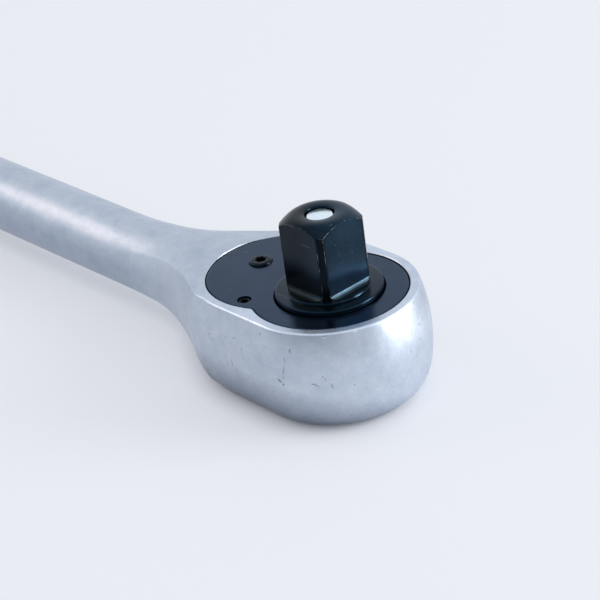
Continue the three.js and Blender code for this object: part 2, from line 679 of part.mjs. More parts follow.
// The drive: journal, gear, collar and square in one piece, bored for the release pin and its button.
function driveGear() {
  const grooveRadius = JOURNAL_RADIUS - 2 * SEAL_RADIUS - SEAT_GAP;
  const grooveHalf = SEAL_RADIUS + SEAT_GAP;
  const core = turned(closedProfile(
    [wellRadius, journalBottom],
    [JOURNAL_RADIUS, journalBottom],
    [JOURNAL_RADIUS, SEAL_HEIGHT - grooveHalf],
    [grooveRadius, SEAL_HEIGHT - grooveHalf],
    [grooveRadius, SEAL_HEIGHT + grooveHalf],
    [JOURNAL_RADIUS, SEAL_HEIGHT + grooveHalf],
    [JOURNAL_RADIUS, gearTop],
    [collarRadius, gearTop],
    [collarRadius, collarTop - COLLAR_CHAMFER],
    [collarRadius - COLLAR_CHAMFER, collarTop],
    [barRadius, collarTop],
    [barRadius, driveTip - TIP_DROP],
    [SQUARE_FLATS / 2 - TIP_INSET, driveTip],
    [pinBore + PIN_MOUTH, driveTip],
    [pinBore, driveTip - PIN_MOUTH],
    [pinBore, stepHeight],
    [rodBore, stepHeight],
    [rodBore, wellTop],
    [wellRadius, wellTop],
  ));
  const teeth = cutBy(
    solid(prism(gearOutline(), gearBottom, gearTop)),
    bar(JOURNAL_RADIUS - SEAT_GAP, 0, headHeight, 0, 0, ROUND_SIDES),
  );
  const slabs = [0, 1, 2, 3].map((side) => {
    const [depth, height] = [CORNER_PROUD + CUT_OVERRUN, SQUARE_LENGTH + CUT_OVERRUN];
    const slab = new THREE.BoxGeometry(depth, 2 * barRadius, height);
    slab.translate((SQUARE_FLATS + depth) / 2, 0, squareBottom + height / 2);
    slab.rotateZ(side * Math.PI / 2);
    return slab;
  });
  const ballHole = bar(BALL_RADIUS + RUNNING_GAP, 0, barRadius);
  ballHole.rotateY(-Math.PI / 2);
  ballHole.translate(0, 0, ballHeight);
  return geometryOf(cutBy(solid(core).add(teeth), ...slabs, ballHole));
}

function ring(inner, outer, bottom, top) {
  return turned(closedProfile([inner, bottom], [outer, bottom], [outer, top], [inner, top]));
}

function journalSeal() {
  return new THREE.TorusGeometry(JOURNAL_RADIUS - SEAL_RADIUS, SEAL_RADIUS, WIRE_SIDES + 2, ROUND_SIDES);
}

function releasePin() {
  return turned([
    [0, buttonBottom + STACK_GAP],
    [ROD_RADIUS, buttonBottom + STACK_GAP],
    [ROD_RADIUS, landBottom],
    [PIN_RADIUS, landBottom],
    [PIN_RADIUS, grooveBottom],
    [rampRadius, grooveBottom],
    [rampRadius, rampBottom],
    [PIN_RADIUS, rampTop],
    [PIN_RADIUS, pinTop - PIN_MOUTH],
    [PIN_RADIUS - PIN_MOUTH, pinTop],
    [0, pinTop],
  ], SMALL_SIDES);
}

// The button is a cup that is pressed over the lower end of the release pin.
function releaseButton() {
  return turned([
    [0, buttonBottom],
    [BUTTON_RADIUS, buttonBottom],
    [BUTTON_RADIUS, buttonTop],
    [ROD_RADIUS + SEAT_GAP, buttonTop],
    [ROD_RADIUS + SEAT_GAP, buttonBottom + SEAT_GAP],
    [0, buttonBottom + SEAT_GAP],
  ]);
}

function reverseLever() {
  const grooveRoom = sector(
    DETENT_ORBIT - DETENT_BALL_RADIUS,
    DETENT_ORBIT + DETENT_BALL_RADIUS,
    Math.PI - LEVER_SWING / 2 - DETENT_BALL_RADIUS / DETENT_ORBIT,
    Math.PI + LEVER_SWING / 2 + DETENT_BALL_RADIUS / DETENT_ORBIT,
  );
  const flatHeight = stemTop - FLOOR_THICKNESS + CUT_OVERRUN;
  const flat = new THREE.BoxGeometry(STEM_NECK_RADIUS, 2 * STEM_NECK_RADIUS, flatHeight);
  flat.translate(STEM_FLAT + STEM_NECK_RADIUS / 2, 0, FLOOR_THICKNESS + flatHeight / 2);
  const stem = turned([
    [0, leverBottom],
    [STEM_RADIUS, leverBottom],
    [STEM_RADIUS, FLOOR_THICKNESS],
    [STEM_NECK_RADIUS, FLOOR_THICKNESS],
    [STEM_NECK_RADIUS, clipBottom - SEAT_GAP],
    [STEM_NECK_RADIUS - CLIP_GROOVE, clipBottom - SEAT_GAP],
    [STEM_NECK_RADIUS - CLIP_GROOVE, clipTop + SEAT_GAP],
    [STEM_NECK_RADIUS, clipTop + SEAT_GAP],
    [STEM_NECK_RADIUS, stemTop],
    [0, stemTop],
  ], SMALL_SIDES);
  return geometryOf(cutBy(
    joined(
      bar(LEVER_HUB_RADIUS, leverBottom, leverTop, 0, 0, ROUND_SIDES),
      prism(leverTabOutline(), leverBottom, leverTop),
      stem,
    ),
    prism(grooveRoom, leverTop - DETENT_GROOVE, leverTop + SEAT_GAP),
    flat,
  ));
}

function shiftCam() {
  const bore = new THREE.Shape();
  const boreRadius = STEM_NECK_RADIUS + SEAT_GAP;
  const flatAngle = Math.acos((STEM_FLAT + SEAT_GAP) / boreRadius);
  bore.absarc(0, 0, boreRadius, flatAngle, 2 * Math.PI - flatAngle);
  return geometryOf(cutBy(
    joined(
      bar(CAM_HUB_RADIUS, camBottom, camTop),
      bar(PEG_RADIUS, camBottom, pegTop, PEG_ORBIT),
    ),
    prism(bore, 0, camTop + CUT_OVERRUN),
  ));
}

function camClip() {
  const inner = STEM_NECK_RADIUS - CLIP_GROOVE + SEAT_GAP;
  const outline = sector(inner, CLIP_RADIUS, CLIP_OPENING / 2, 2 * Math.PI - CLIP_OPENING / 2);
  return prism(outline, clipBottom, clipTop);
}

const FINISH = {
  chrome: { color: 0xb4bcc4, roughness: 0.32, metalness: 1 },
  blackOxide: { color: 0x262d33, roughness: 0.42, metalness: 0.85 },
  bright: { color: 0xd4d8dc, roughness: 0.2, metalness: 1 },
  springSteel: { color: 0x8d9296, roughness: 0.35, metalness: 1 },
  bronze: { color: 0x9a7440, roughness: 0.4, metalness: 1 },
  rubber: { color: 0x141414, roughness: 0.85, metalness: 0 },
};

function piece(name, geometry, finish, place = {}) {
  const mesh = new THREE.Mesh(geometry, new THREE.MeshStandardMaterial(FINISH[finish]));
  mesh.name = name;
  mesh.position.set(place.x ?? 0, place.y ?? 0, place.z ?? 0);
  mesh.rotation.z = place.turn ?? 0;
  return mesh;
}

const head = new THREE.Group();
head.add(piece("forged_body", forgedBody(), "chrome"));
head.add(piece("cover_plate", coverPlate(), "blackOxide"));
head.add(piece("cover_screw", coverScrew(), "blackOxide", { x: screwX }));
head.add(piece("pawl_pin_far", pawlPin(), "springSteel", { x: pivotX, y: pivotY }));
head.add(piece("pawl_pin_near", pawlPin(), "springSteel", { x: pivotX, y: -pivotY }));
head.add(piece("pawl_far", pawl(1), "blackOxide", { x: pivotX, y: pivotY }));
head.add(piece("pawl_near", pawl(-1), "blackOxide", { x: pivotX, y: -pivotY, turn: PAWL_LIFT }));
for (const [name, side, lift] of [["pawl_spring_far", 1, 0], ["pawl_spring_near", -1, PAWL_LIFT]]) {
  const seat = { x: springSeatX, y: side * PAWL_SPRING_OFFSET, z: pawlSpringHeight };
  head.add(piece(name, pawlSpring(lift), "springSteel", seat));
}
const detentSpring = spring(
  DETENT_BALL_RADIUS, DETENT_SPRING_WIRE, DETENT_SPRING_LENGTH, DETENT_SPRING_TURNS,
);
const detentBall = new THREE.SphereGeometry(DETENT_BALL_RADIUS, SMALL_SIDES, ARC_STEPS);
head.add(piece("detent_ball", detentBall, "bright", { x: detentX, z: detentHeight }));
head.add(piece("detent_spring", detentSpring, "springSteel", { x: detentX, z: detentSpringBottom }));

const selector = new THREE.Group();
selector.position.x = selectorX;
selector.rotation.z = -LEVER_SWING / 2;
selector.add(piece("reverse_lever", reverseLever(), "blackOxide"));
selector.add(piece("shift_cam", shiftCam(), "springSteel"));
selector.add(piece("cam_clip", camClip(), "springSteel"));

const drive = new THREE.Group();
const washer = ring(JOURNAL_RADIUS + RUNNING_GAP, rootRadius, washerBottom, washerTop);
const releaseSpring = spring(
  RELEASE_SPRING_RADIUS, RELEASE_SPRING_WIRE, RELEASE_SPRING_LENGTH, RELEASE_SPRING_TURNS,
);
const lockBall = new THREE.SphereGeometry(BALL_RADIUS, ROUND_SIDES / 2, SMALL_SIDES);
drive.add(piece("drive_gear", driveGear(), "blackOxide"));
drive.add(piece("thrust_washer", washer, "bronze"));
drive.add(piece("journal_seal", journalSeal(), "rubber", { z: SEAL_HEIGHT }));
drive.add(piece("release_pin", releasePin(), "bright"));
drive.add(piece("release_button", releaseButton(), "bright"));
drive.add(piece("release_spring", releaseSpring, "springSteel", { z: springBottom }));
drive.add(piece("lock_ball", lockBall, "bright", { x: -ballCentre, z: ballHeight }));

const ratchet = new THREE.Group();
ratchet.position.x = LENGTH / 2 - bulgeRadius;
ratchet.add(head, selector, drive);
const part = new THREE.Group();
part.add(ratchet);

export default part;
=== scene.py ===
import math

import bmesh
import bpy
from mathutils import Matrix, Vector


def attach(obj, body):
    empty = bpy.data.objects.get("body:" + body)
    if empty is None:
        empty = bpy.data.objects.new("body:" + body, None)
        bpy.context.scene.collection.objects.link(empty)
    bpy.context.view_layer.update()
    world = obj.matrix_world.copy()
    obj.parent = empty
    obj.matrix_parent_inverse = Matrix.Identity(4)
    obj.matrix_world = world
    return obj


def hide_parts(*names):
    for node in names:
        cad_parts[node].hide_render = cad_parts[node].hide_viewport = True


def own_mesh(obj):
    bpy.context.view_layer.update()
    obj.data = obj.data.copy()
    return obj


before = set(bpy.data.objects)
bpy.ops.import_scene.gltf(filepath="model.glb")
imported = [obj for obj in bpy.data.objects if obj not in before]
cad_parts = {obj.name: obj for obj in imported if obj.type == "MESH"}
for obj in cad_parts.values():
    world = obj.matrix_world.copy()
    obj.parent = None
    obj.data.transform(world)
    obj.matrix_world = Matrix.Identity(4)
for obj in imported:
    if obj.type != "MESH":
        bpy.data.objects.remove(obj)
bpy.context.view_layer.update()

# The forging is one piece of drop-forged steel: knurled grip, round shank, flaring neck and oval head.
# It is satin chrome plated all over, and its head is bored out for the gear, the pawls and the lever.
# Lengths are in millimetres from the drive's axis, which stands DRIVE_X in front of the middle.
DRIVE_X = 180.39
HEAD_TOP = 22.65
RIM_RADIUS = 18.17
RIM_CHAMFER = 0.3
SIDE_BULGE = 1.44
BULGE_HEIGHT = 12.8
BULGE_RADIUS = RIM_RADIUS + SIDE_BULGE
BACK_ROUNDING = 6.6
BACK_FULLNESS = 0.72
LOBE_SPACING = 14.0
LOBE_TURN = math.radians(40)
SHANK_RADIUS = 8.15
SHANK_HEIGHT = 11.6
NECK_LENGTH = 37.0
NECK_START = -LOBE_SPACING - RIM_RADIUS
NECK_END = NECK_START - NECK_LENGTH
NECK_FLARE = 0.5
NECK_BLEND = 16.0
NECK_EDGE_ROUNDING = 3.2
NECK_EDGE_LENGTH = 24.0
ROUNDING_START, ROUNDING_END = -16.0, -68.0
UNDERCUT_START, UNDERCUT_END = -26.0, -49.0
FORGING_END = -380.39
END_ROUNDING = 4.5
GRIP_START, GRIP_END = -371.39, -256.39
GRIP_TAPER = 3.0
KNURL_CREST, KNURL_ROOT = 9.38, 8.98
FLOOR_HEIGHT = 7.0
LEDGE_HEIGHT = 20.25
RECESS_RADIUS = 16.17
CAVITY_RADIUS = 13.7
JOURNAL_BORE = 7.85
WAIST_FILLET = 1.1
SELECTOR_X = -16.3
SELECTOR_BORE = 1.95
DETENT_X = SELECTOR_X - 3.9
DETENT_BORE = 1.25
DETENT_BORE_TOP = 7.9
LEVER_ROOM_TOP = 3.6
PAWL_PIVOT = (-11.4867, 12.8022)
PIN_HOLE = 1.55
PIN_HOLE_BOTTOM = 2.9
SCREW_X = -20.9
SCREW_HOLE = 1.5
SCREW_HOLE_BOTTOM = 14.1
WELL_X, WELL_Y, WELL_HEIGHT = -22.25, 6.3, 14.75
WELL_RADIUS, WELL_DEPTH = 1.65, 5.0
OVERCUT = 1.0


def smoothstep(value, low, high):
    share = min(max((value - low) / (high - low), 0.0), 1.0)
    return share * share * (3.0 - 2.0 * share)


def blend_between(first, second, share):
    return first + (second - first) * share


def even_steps(first, last, count):
    return [blend_between(first, last, step / count) for step in range(count + 1)]


def on_circle(radius, angle, x=0.0, y=0.0):
    return x + radius * math.cos(angle), y + radius * math.sin(angle)


def rotated(points, angle):
    cosine, sine = math.cos(angle), math.sin(angle)
    return [(x * cosine - y * sine, x * sine + y * cosine) for x, y in points]


def shifted(points, x, y=0.0):
    return [(x + along, y + across) for along, across in points]


def in_metres(x, y, z):
    return (x + DRIVE_X) / 1000, y / 1000, z / 1000


def add_object(name, data):
    added = bpy.data.objects.new(name, data)
    bpy.context.scene.collection.objects.link(added)
    return added


def new_piece(name, points, faces):
    mesh = bpy.data.meshes.new(name)
    mesh.from_pydata([in_metres(*point) for point in points], [], faces)
    work = bmesh.new()
    work.from_mesh(mesh)
    bmesh.ops.recalc_face_normals(work, faces=work.faces)
    work.to_mesh(mesh)
    work.free()
    return add_object(name, mesh)


def apply_modifiers(piece):
    bpy.context.view_layer.update()
    finished = piece.evaluated_get(bpy.context.evaluated_depsgraph_get())
    mesh = bpy.data.meshes.new_from_object(finished)
    piece.modifiers.clear()
    piece.data = mesh


def combine(piece, tools, operation):
    for tool in tools:
        cut = piece.modifiers.new("cut", "BOOLEAN")
        cut.operation = operation
        cut.solver = "MANIFOLD"
        cut.object = tool
    apply_modifiers(piece)
    for tool in tools:
        bpy.data.objects.remove(tool)


def faces_between(ring_count, count):
    """The faces that join closed rings of a count of points, each ring to the next."""
    faces = []
    for ring in range(ring_count - 1):
        for i in range(count):
            a = ring * count + i
            b = ring * count + (i + 1) % count
            faces.append((a, b, b + count, a + count))
    return faces


def end_faces(points, count):
    return [tuple(reversed(range(count))), tuple(range(len(points) - count, len(points)))]


def drawn_up(outline, rings, name="tool"):
    """A closed solid over copies of a flat outline, each grown by an amount at a height."""
    count = len(outline(0.0))
    points = [(x, y, height) for growth, height in rings for x, y in outline(growth)]
    return new_piece(name, points, end_faces(points, count) + faces_between(len(rings), count))


def disc(x, y, radius, sides):
    def outline(growth):
        return [on_circle(radius + growth, 2 * math.pi * i / sides, x, y) for i in range(sides)]
    return outline


def band(circles, steps=14):
    """The outline that a band takes round circles given anticlockwise as (x, y, radius)."""
    leaving = []
    for (x, y, radius), (next_x, next_y, next_radius) in zip(circles, circles[1:] + circles[:1]):
        run = math.hypot(next_x - x, next_y - y)
        leaving.append(math.atan2(next_y - y, next_x - x) - math.acos((radius - next_radius) / run))

    def outline(growth):
        points = []
        for i, (x, y, radius) in enumerate(circles):
            sweep = (leaving[i] - leaving[i - 1]) % (2 * math.pi)
            for step in range(steps + 1):
                points.append(on_circle(radius + growth, leaving[i - 1] + sweep * step / steps, x, y))
        return points
    return outline


def two_lobes(radius, fillet, lobe_steps=56, waist_steps=8):
    """The outline of the cover plate: two round lobes with the waist between them rounded."""
    waist_y = math.sqrt((radius + fillet) ** 2 - (LOBE_SPACING / 2) ** 2)
    turn = math.atan2(waist_y, -LOBE_SPACING / 2)

    def outline(growth):
        points = []
        for side in (0, 1):
            start = side * math.pi
            for angle in even_steps(-turn, turn, lobe_steps):
                points.append(on_circle(radius + growth, start + angle, -side * LOBE_SPACING))
            middle = (-LOBE_SPACING / 2, waist_y * (1 - 2 * side))
            for angle in even_steps(turn - math.pi, -turn, waist_steps)[1:-1]:
                points.append(on_circle(fillet - growth, start + angle, *middle))
        return points
    return outline


def hole(outline, bottom, top, lip=0.0):
    """What a tool takes out from a bottom up through a top face, where a lip rounds the edge."""
    angles = even_steps(0.0, math.pi / 2, 4) if lip else []
    rounding = [(lip * (1 - math.cos(a)), top - lip + lip * math.sin(a)) for a in angles]
    return drawn_up(outline, [(0.0, bottom), *rounding, (lip, top + OVERCUT)])


def pin_holes(radius, sides, bottom, top, lip=0.0):
    x, y = PAWL_PIVOT
    return [hole(disc(x, side * y, radius, sides), bottom, top, lip) for side in (1, -1)]


def laid_over(tool, turn, x, y, z):
    """A hole round the drive's axis, turned about the Y axis to start at a place and run sideways."""
    tool.data.transform(Matrix.Translation((-DRIVE_X / 1000, 0, 0)))
    tool.data.transform(Matrix.Rotation(turn, 4, "Y"))
    tool.data.transform(Matrix.Translation(in_metres(x, y, z)))
    return tool


def half_section():
    """Half of the head's section, from the middle of the top round the side to the middle of the back."""
    spoke = math.radians(3)
    middle = HEAD_TOP / 2
    back_radius = BULGE_RADIUS - BACK_ROUNDING
    side_steps, back_steps = 12, 20

    def spokes(radius, height):
        reach = math.atan2(radius, middle)
        count = int(reach / spoke)
        return [(middle * math.tan(reach * i / count), height) for i in range(count)]

    inner_edge = RIM_RADIUS - RIM_CHAMFER
    inner_break, outer_break = 0.04, 0.05
    points = [
        *spokes(inner_edge, HEAD_TOP),
        (inner_edge - inner_break, HEAD_TOP),
        (inner_edge + inner_break, HEAD_TOP - inner_break),
        (RIM_RADIUS - outer_break, HEAD_TOP - RIM_CHAMFER + outer_break),
    ]
    rise = HEAD_TOP - RIM_CHAMFER - BULGE_HEIGHT
    sweep = 2 * math.atan(SIDE_BULGE / rise)
    barrel = rise / math.sin(sweep)
    side_angles = even_steps(sweep, 0.0, side_steps)[:-1]
    points += [on_circle(barrel, angle, BULGE_RADIUS - barrel, BULGE_HEIGHT) for angle in side_angles]
    corners = [
        (BULGE_RADIUS, BULGE_HEIGHT),
        (BULGE_RADIUS, BULGE_HEIGHT * (1 - BACK_FULLNESS)),
        (back_radius + BACK_ROUNDING * BACK_FULLNESS, 0.0),
        (back_radius, 0.0),
    ]
    for step in range(back_steps):
        t = step / back_steps
        weights = ((1 - t) ** 3, 3 * t * (1 - t) ** 2, 3 * t * t * (1 - t), t ** 3)
        points.append(tuple(sum(w * c[i] for w, c in zip(weights, corners)) for i in (0, 1)))
    points.append((back_radius, 0.0))
    points.extend(reversed(spokes(back_radius, 0.0)))
    return points


def rounded_off(section):
    """The same half section with the edge of its top rounded, as it becomes along the neck."""
    low = HEAD_TOP - NECK_EDGE_ROUNDING
    upper_side = [point for point in section if point[1] > BULGE_HEIGHT]
    side = min(upper_side, key=lambda point: abs(point[1] - low))
    middle = side[0] - NECK_EDGE_ROUNDING
    rounded = []
    for across, height in section:
        if across > middle and height > low:
            reach = math.hypot(across - middle, height - low)
            share = min(1.0, NECK_EDGE_ROUNDING / reach)
            across = middle + (across - middle) * share
            height = low + (height - low) * share
        rounded.append((across, height))
    return rounded


HALF_SECTION = half_section()
NECK_SECTION = rounded_off(HALF_SECTION)


def half_width(x):
    behind = min(0.0, x + LOBE_SPACING)
    arc_end = -BULGE_RADIUS * math.sin(LOBE_TURN)
    arc = math.sqrt(BULGE_RADIUS ** 2 - max(behind, arc_end) ** 2)
    lobe = arc + min(0.0, behind - arc_end) * math.tan(LOBE_TURN)
    neck = SHANK_RADIUS + NECK_FLARE * (1 - smoothstep(-x, LOBE_SPACING, -NECK_END))
    reach = NECK_BLEND * smoothstep(-x, LOBE_SPACING, LOBE_SPACING + NECK_BLEND / 2)
    near = max(reach - abs(lobe - neck), 0.0)
    return max(lobe, neck) + near ** 2 / (4 * NECK_BLEND)


def forging_section(x, shrink=1.0):
    """A ring of points across the forging: the head's section eased into the round shank."""
    fall = smoothstep(-x, -NECK_START, -NECK_END)
    under = smoothstep(-x, -UNDERCUT_START, -UNDERCUT_END)
    roundness = smoothstep(-x, -ROUNDING_START, -ROUNDING_END)
    softness = smoothstep(-x, LOBE_SPACING, LOBE_SPACING + NECK_EDGE_LENGTH)
    top = blend_between(HEAD_TOP, SHANK_HEIGHT + SHANK_RADIUS, fall)
    bottom = blend_between(0.0, SHANK_HEIGHT - SHANK_RADIUS, under)
    width = half_width(x)
    half = []
    for crisp, soft in zip(HALF_SECTION, NECK_SECTION):
        angle = math.atan2(crisp[1] - HEAD_TOP / 2, crisp[0])
        across = blend_between(crisp[0], soft[0], softness)
        height = blend_between(crisp[1], soft[1], softness)
        square = (across * width / BULGE_RADIUS, bottom + (top - bottom) * height / HEAD_TOP)
        oval = (width * math.cos(angle), (top + bottom) / 2 + (top - bottom) / 2 * math.sin(angle))
        y = blend_between(square[0], oval[0], roundness) * shrink
        z = SHANK_HEIGHT + (blend_between(square[1], oval[1], roundness) - SHANK_HEIGHT) * shrink
        half.append((x, y, z))
    return half + [(x, -y, z) for x, y, z in reversed(half[1:-1])]


def forging_blank():
    """Rings across the handle and neck, closed by the turned front of the head."""
    end_steps, shank_steps, neck_steps, lobe_turns = 12, 7, 64, 72
    shank_start, shank_end = FORGING_END + 9.0, NECK_END - 6.0
    rings = []
    for step in range(end_steps + 1):
        angle = step / end_steps * math.pi / 2
        radius = SHANK_RADIUS - END_ROUNDING * (1 - math.sin(angle))
        x = FORGING_END + END_ROUNDING * (1 - math.cos(angle))
        rings.append(forging_section(x, radius / SHANK_RADIUS))
    rings += [forging_section(x) for x in even_steps(shank_start, shank_end, shank_steps)]
    rings += [forging_section(x) for x in even_steps(NECK_END, -LOBE_SPACING, neck_steps)]
    rings.append(forging_section(0.0))
    count = len(rings[0])
    points = [point for ring in rings for point in ring]
    faces = [tuple(range(count)), *faces_between(len(rings), count)]
    last = (len(rings) - 1) * count
    half = len(HALF_SECTION)
    columns = [[last + i for i in range(half)]]
    for turn in range(1, lobe_turns):
        angle = math.pi / 2 - math.pi * turn / lobe_turns
        column = [last]
        for across, height in HALF_SECTION[1:-1]:
            column.append(len(points))
            points.append((*on_circle(across, angle), height))
        columns.append(column + [last + half - 1])
    columns.append([last] + [last + count - i for i in range(1, half - 1)] + [last + half - 1])
    for left, right in zip(columns, columns[1:]):
        for i in range(half - 1):
            corners = (left[i], left[i + 1], right[i + 1], right[i])
            faces.append(tuple(dict.fromkeys(corners)))
    return new_piece("forging", points, faces)


def knurled_sleeve():
    """The raised grip: crossed knurling as small pyramids between two smooth tapers."""
    around, rows = 72, 136
    hidden = 7.6
    step_x = (GRIP_END - GRIP_START - 2 * GRIP_TAPER) / rows
    taper_rings = [
        (0.9, hidden), (0.9, SHANK_RADIUS - 0.1), (GRIP_TAPER - 0.6, KNURL_CREST - 0.12),
        (GRIP_TAPER - 0.2, KNURL_CREST), (GRIP_TAPER - 0.1, KNURL_ROOT),
    ]
    rings = [(GRIP_START + inset, radius, radius) for inset, radius in taper_rings]
    for row in range(rows + 1):
        even_radius = KNURL_CREST if row % 2 else KNURL_ROOT
        odd_radius = KNURL_ROOT if row % 2 or row in (0, rows) else KNURL_CREST
        rings.append((GRIP_START + GRIP_TAPER + row * step_x, even_radius, odd_radius))
    rings += [(GRIP_END - inset, radius, radius) for inset, radius in reversed(taper_rings)]
    points = []
    for x, *radii in rings:
        for i in range(around):
            points.append((x, *on_circle(radii[i % 2], 2 * math.pi * i / around, 0.0, SHANK_HEIGHT)))
    faces = end_faces(points, around)
    for number, (a, b, c, d) in enumerate(faces_between(len(rings), around)):
        ring, i = divmod(number, around)
        row = ring - len(taper_rings)
        if not 0 <= row < rows:
            faces.append((a, b, c, d))
        elif (i + row) % 2:
            faces += [(a, b, d), (b, c, d)]
        else:
            faces += [(a, b, c), (a, c, d)]
    return new_piece("sleeve", points, faces)


def lever_room(growth):
    """The outline that the lever sweeps over its quarter turn, and a little more."""
    hub, tip, reach = 5.85, 2.75, 10.7
    tip_steps, outer_steps, hub_steps = 8, 24, 40
    half_swing = math.radians(45)
    lean = math.acos((hub - tip) / reach)
    sides = []
    for side in (1, -1):
        swing = math.pi - side * half_swing
        edge = swing - side * lean
        tip_middle = on_circle(reach, swing)
        tip_arc = [on_circle(tip + growth, a, *tip_middle) for a in even_steps(edge, swing, tip_steps)]
        sides.append((edge, [on_circle(hub + growth, edge), *tip_arc]))
    (first_edge, first), (last_edge, last) = sides
    outer_angles = even_steps(math.pi - half_swing, math.pi + half_swing, outer_steps)[1:-1]
    outer = [on_circle(reach + tip + growth, a) for a in outer_angles]
    hub_sweep = (first_edge - last_edge) % (2 * math.pi)
    hub_angles = [last_edge + hub_sweep * step / hub_steps for step in range(1, hub_steps)]
    hub_arc = [on_circle(hub + growth, a) for a in hub_angles]
    return shifted(first + outer + list(reversed(last)) + hub_arc, SELECTOR_X)


def pawl_pocket():
    boss, rear_corner, rear_y = 2.85, 3.2, 6.3
    rear_wall = SELECTOR_X - 2.25
    rear_x = rear_wall + rear_corner
    x, y = PAWL_PIVOT
    rear = [(rear_x, rear_y, rear_corner), (rear_x, -rear_y, rear_corner)]
    return band([(x, y, boss), *rear, (x, -y, boss)])


def spring_well(side):
    well = hole(disc(0.0, 0.0, WELL_RADIUS, 24), 0.0, WELL_DEPTH)
    return laid_over(well, math.pi / 2, WELL_X, side * WELL_Y, WELL_HEIGHT)


forging = forging_blank()
combine(forging, [knurled_sleeve()], "UNION")
combine(forging, [
    drawn_up(two_lobes(RECESS_RADIUS, WAIST_FILLET), [
        (0.0, LEDGE_HEIGHT), (0.0, HEAD_TOP - 0.24), (0.02, HEAD_TOP - 0.2), (0.2, HEAD_TOP - 0.02),
        (0.26, HEAD_TOP), (0.26, HEAD_TOP + OVERCUT),
    ]),
    hole(disc(0, 0, CAVITY_RADIUS, 96), FLOOR_HEIGHT, LEDGE_HEIGHT, lip=0.2),
    hole(pawl_pocket(), FLOOR_HEIGHT, LEDGE_HEIGHT, lip=0.2),
    hole(disc(0, 0, JOURNAL_BORE, 96), -OVERCUT, FLOOR_HEIGHT + OVERCUT),
    hole(disc(SCREW_X, 0, SCREW_HOLE, 24), SCREW_HOLE_BOTTOM, LEDGE_HEIGHT),
    *pin_holes(PIN_HOLE, 24, PIN_HOLE_BOTTOM, LEDGE_HEIGHT),
    spring_well(-1),
    spring_well(1),
    hole(disc(SELECTOR_X, 0, SELECTOR_BORE, 32), LEVER_ROOM_TOP - OVERCUT, FLOOR_HEIGHT + OVERCUT),
    hole(disc(DETENT_X, 0, DETENT_BORE, 24), LEVER_ROOM_TOP - OVERCUT, DETENT_BORE_TOP),
    drawn_up(lever_room, [
        (0.5, -OVERCUT), (0.5, 0.0), (0.25, 0.1), (0.05, 0.35), (0.0, 0.6), (0.0, LEVER_ROOM_TOP),
    ]),
    drawn_up(disc(0, 0, JOURNAL_BORE, 96), [
        (0.6, -OVERCUT), (0.6, 0.0), (0.3, 0.12), (0.08, 0.35), (0.0, 0.7), (0.0, 2.0),
    ]),
], "DIFFERENCE")


def soften(piece):
    piece.data.shade_smooth()
    piece.data.set_sharp_from_angle(angle=math.radians(35))
    even = piece.modifiers.new("even", "WEIGHTED_NORMAL")
    even.keep_sharp = True
    apply_modifiers(piece)


def coat(piece, *finishes):
    piece.data.materials.clear()
    for finish in finishes:
        piece.data.materials.append(finish)


def give(tree, socket, value):
    """Sets an input to a constant or links another node's output to it."""
    if isinstance(value, bpy.types.NodeSocket):
        tree.links.new(value, socket)
    else:
        socket.default_value = value


def give_all(tree, node, **values):
    for key, value in values.items():
        give(tree, node.inputs[key.replace("_", " ")], value)


def add_node(tree, kind, settings=None, **values):
    node = tree.nodes.new(kind)
    for key, value in (settings or {}).items():
        setattr(node, key, value)
    give_all(tree, node, **values)
    return node


def new_finish(name, metallic, colour, roughness):
    finish = bpy.data.materials.new(name)
    finish.use_nodes = True
    tree = finish.node_tree
    shader = tree.nodes["Principled BSDF"]
    give_all(tree, shader, Metallic=metallic, Base_Color=(*colour, 1.0), Roughness=roughness)
    return finish, tree, shader


def object_place(tree):
    return tree.nodes.new("ShaderNodeTexCoord").outputs["Object"]


def mapped(tree, place, **changes):
    return add_node(tree, "ShaderNodeMapping", Vector=place, **changes).outputs["Vector"]


def axes_of(tree, vector):
    return add_node(tree, "ShaderNodeSeparateXYZ", Vector=vector).outputs


def noise(tree, place, per_metre, detail=2.0, roughness=0.5, output="Fac"):
    look = {"Scale": per_metre, "Detail": detail, "Roughness": roughness}
    return add_node(tree, "ShaderNodeTexNoise", Vector=place, **look).outputs[output]


def spread(tree, value, low, high, from_low=0.0, from_high=1.0):
    ends = {"From_Min": from_low, "From_Max": from_high, "To_Min": low, "To_Max": high}
    return add_node(tree, "ShaderNodeMapRange", Value=value, **ends).outputs["Result"]


def rising(tree, value, low, high):
    return spread(tree, value, 0.0, 1.0, low, high)


def falling(tree, value, low, high):
    return spread(tree, value, 1.0, 0.0, low, high)


def operated(tree, kind, operation, first, second):
    node = add_node(tree, kind, {"operation": operation})
    give(tree, node.inputs[0], first)
    give(tree, node.inputs[1], second)
    return node.outputs


def arithmetic(tree, operation, first, second):
    return operated(tree, "ShaderNodeMath", operation, first, second)["Value"]


def product(tree, first, second):
    return arithmetic(tree, "MULTIPLY", first, second)


def vector_math(tree, operation, first, second, output="Vector"):
    return operated(tree, "ShaderNodeVectorMath", operation, first, second)[output]


def mixed(tree, share, first, second, blend_type="MIX"):
    """Two colours mixed by a share, each given as a colour or as another node's output."""
    colours = [(*colour, 1.0) if isinstance(colour, tuple) else colour for colour in (first, second)]
    settings = {"data_type": "RGBA", "blend_type": blend_type}
    node = add_node(tree, "ShaderNodeMix", settings, Factor=share, A=colours[0], B=colours[1])
    return node.outputs["Result"]


def tinted(tree, colour, share, first, second):
    """A colour multiplied by the first tint where the share is 0 and by the second where it is 1."""
    return mixed(tree, 1.0, colour, mixed(tree, share, first, second), "MULTIPLY")


def relief(tree, height, depth_mm, strength, under=None):
    node = add_node(tree, "ShaderNodeBump", Height=height, Strength=strength, Distance=depth_mm / 1000)
    if under is not None:
        give_all(tree, node, Normal=under)
    return node.outputs["Normal"]


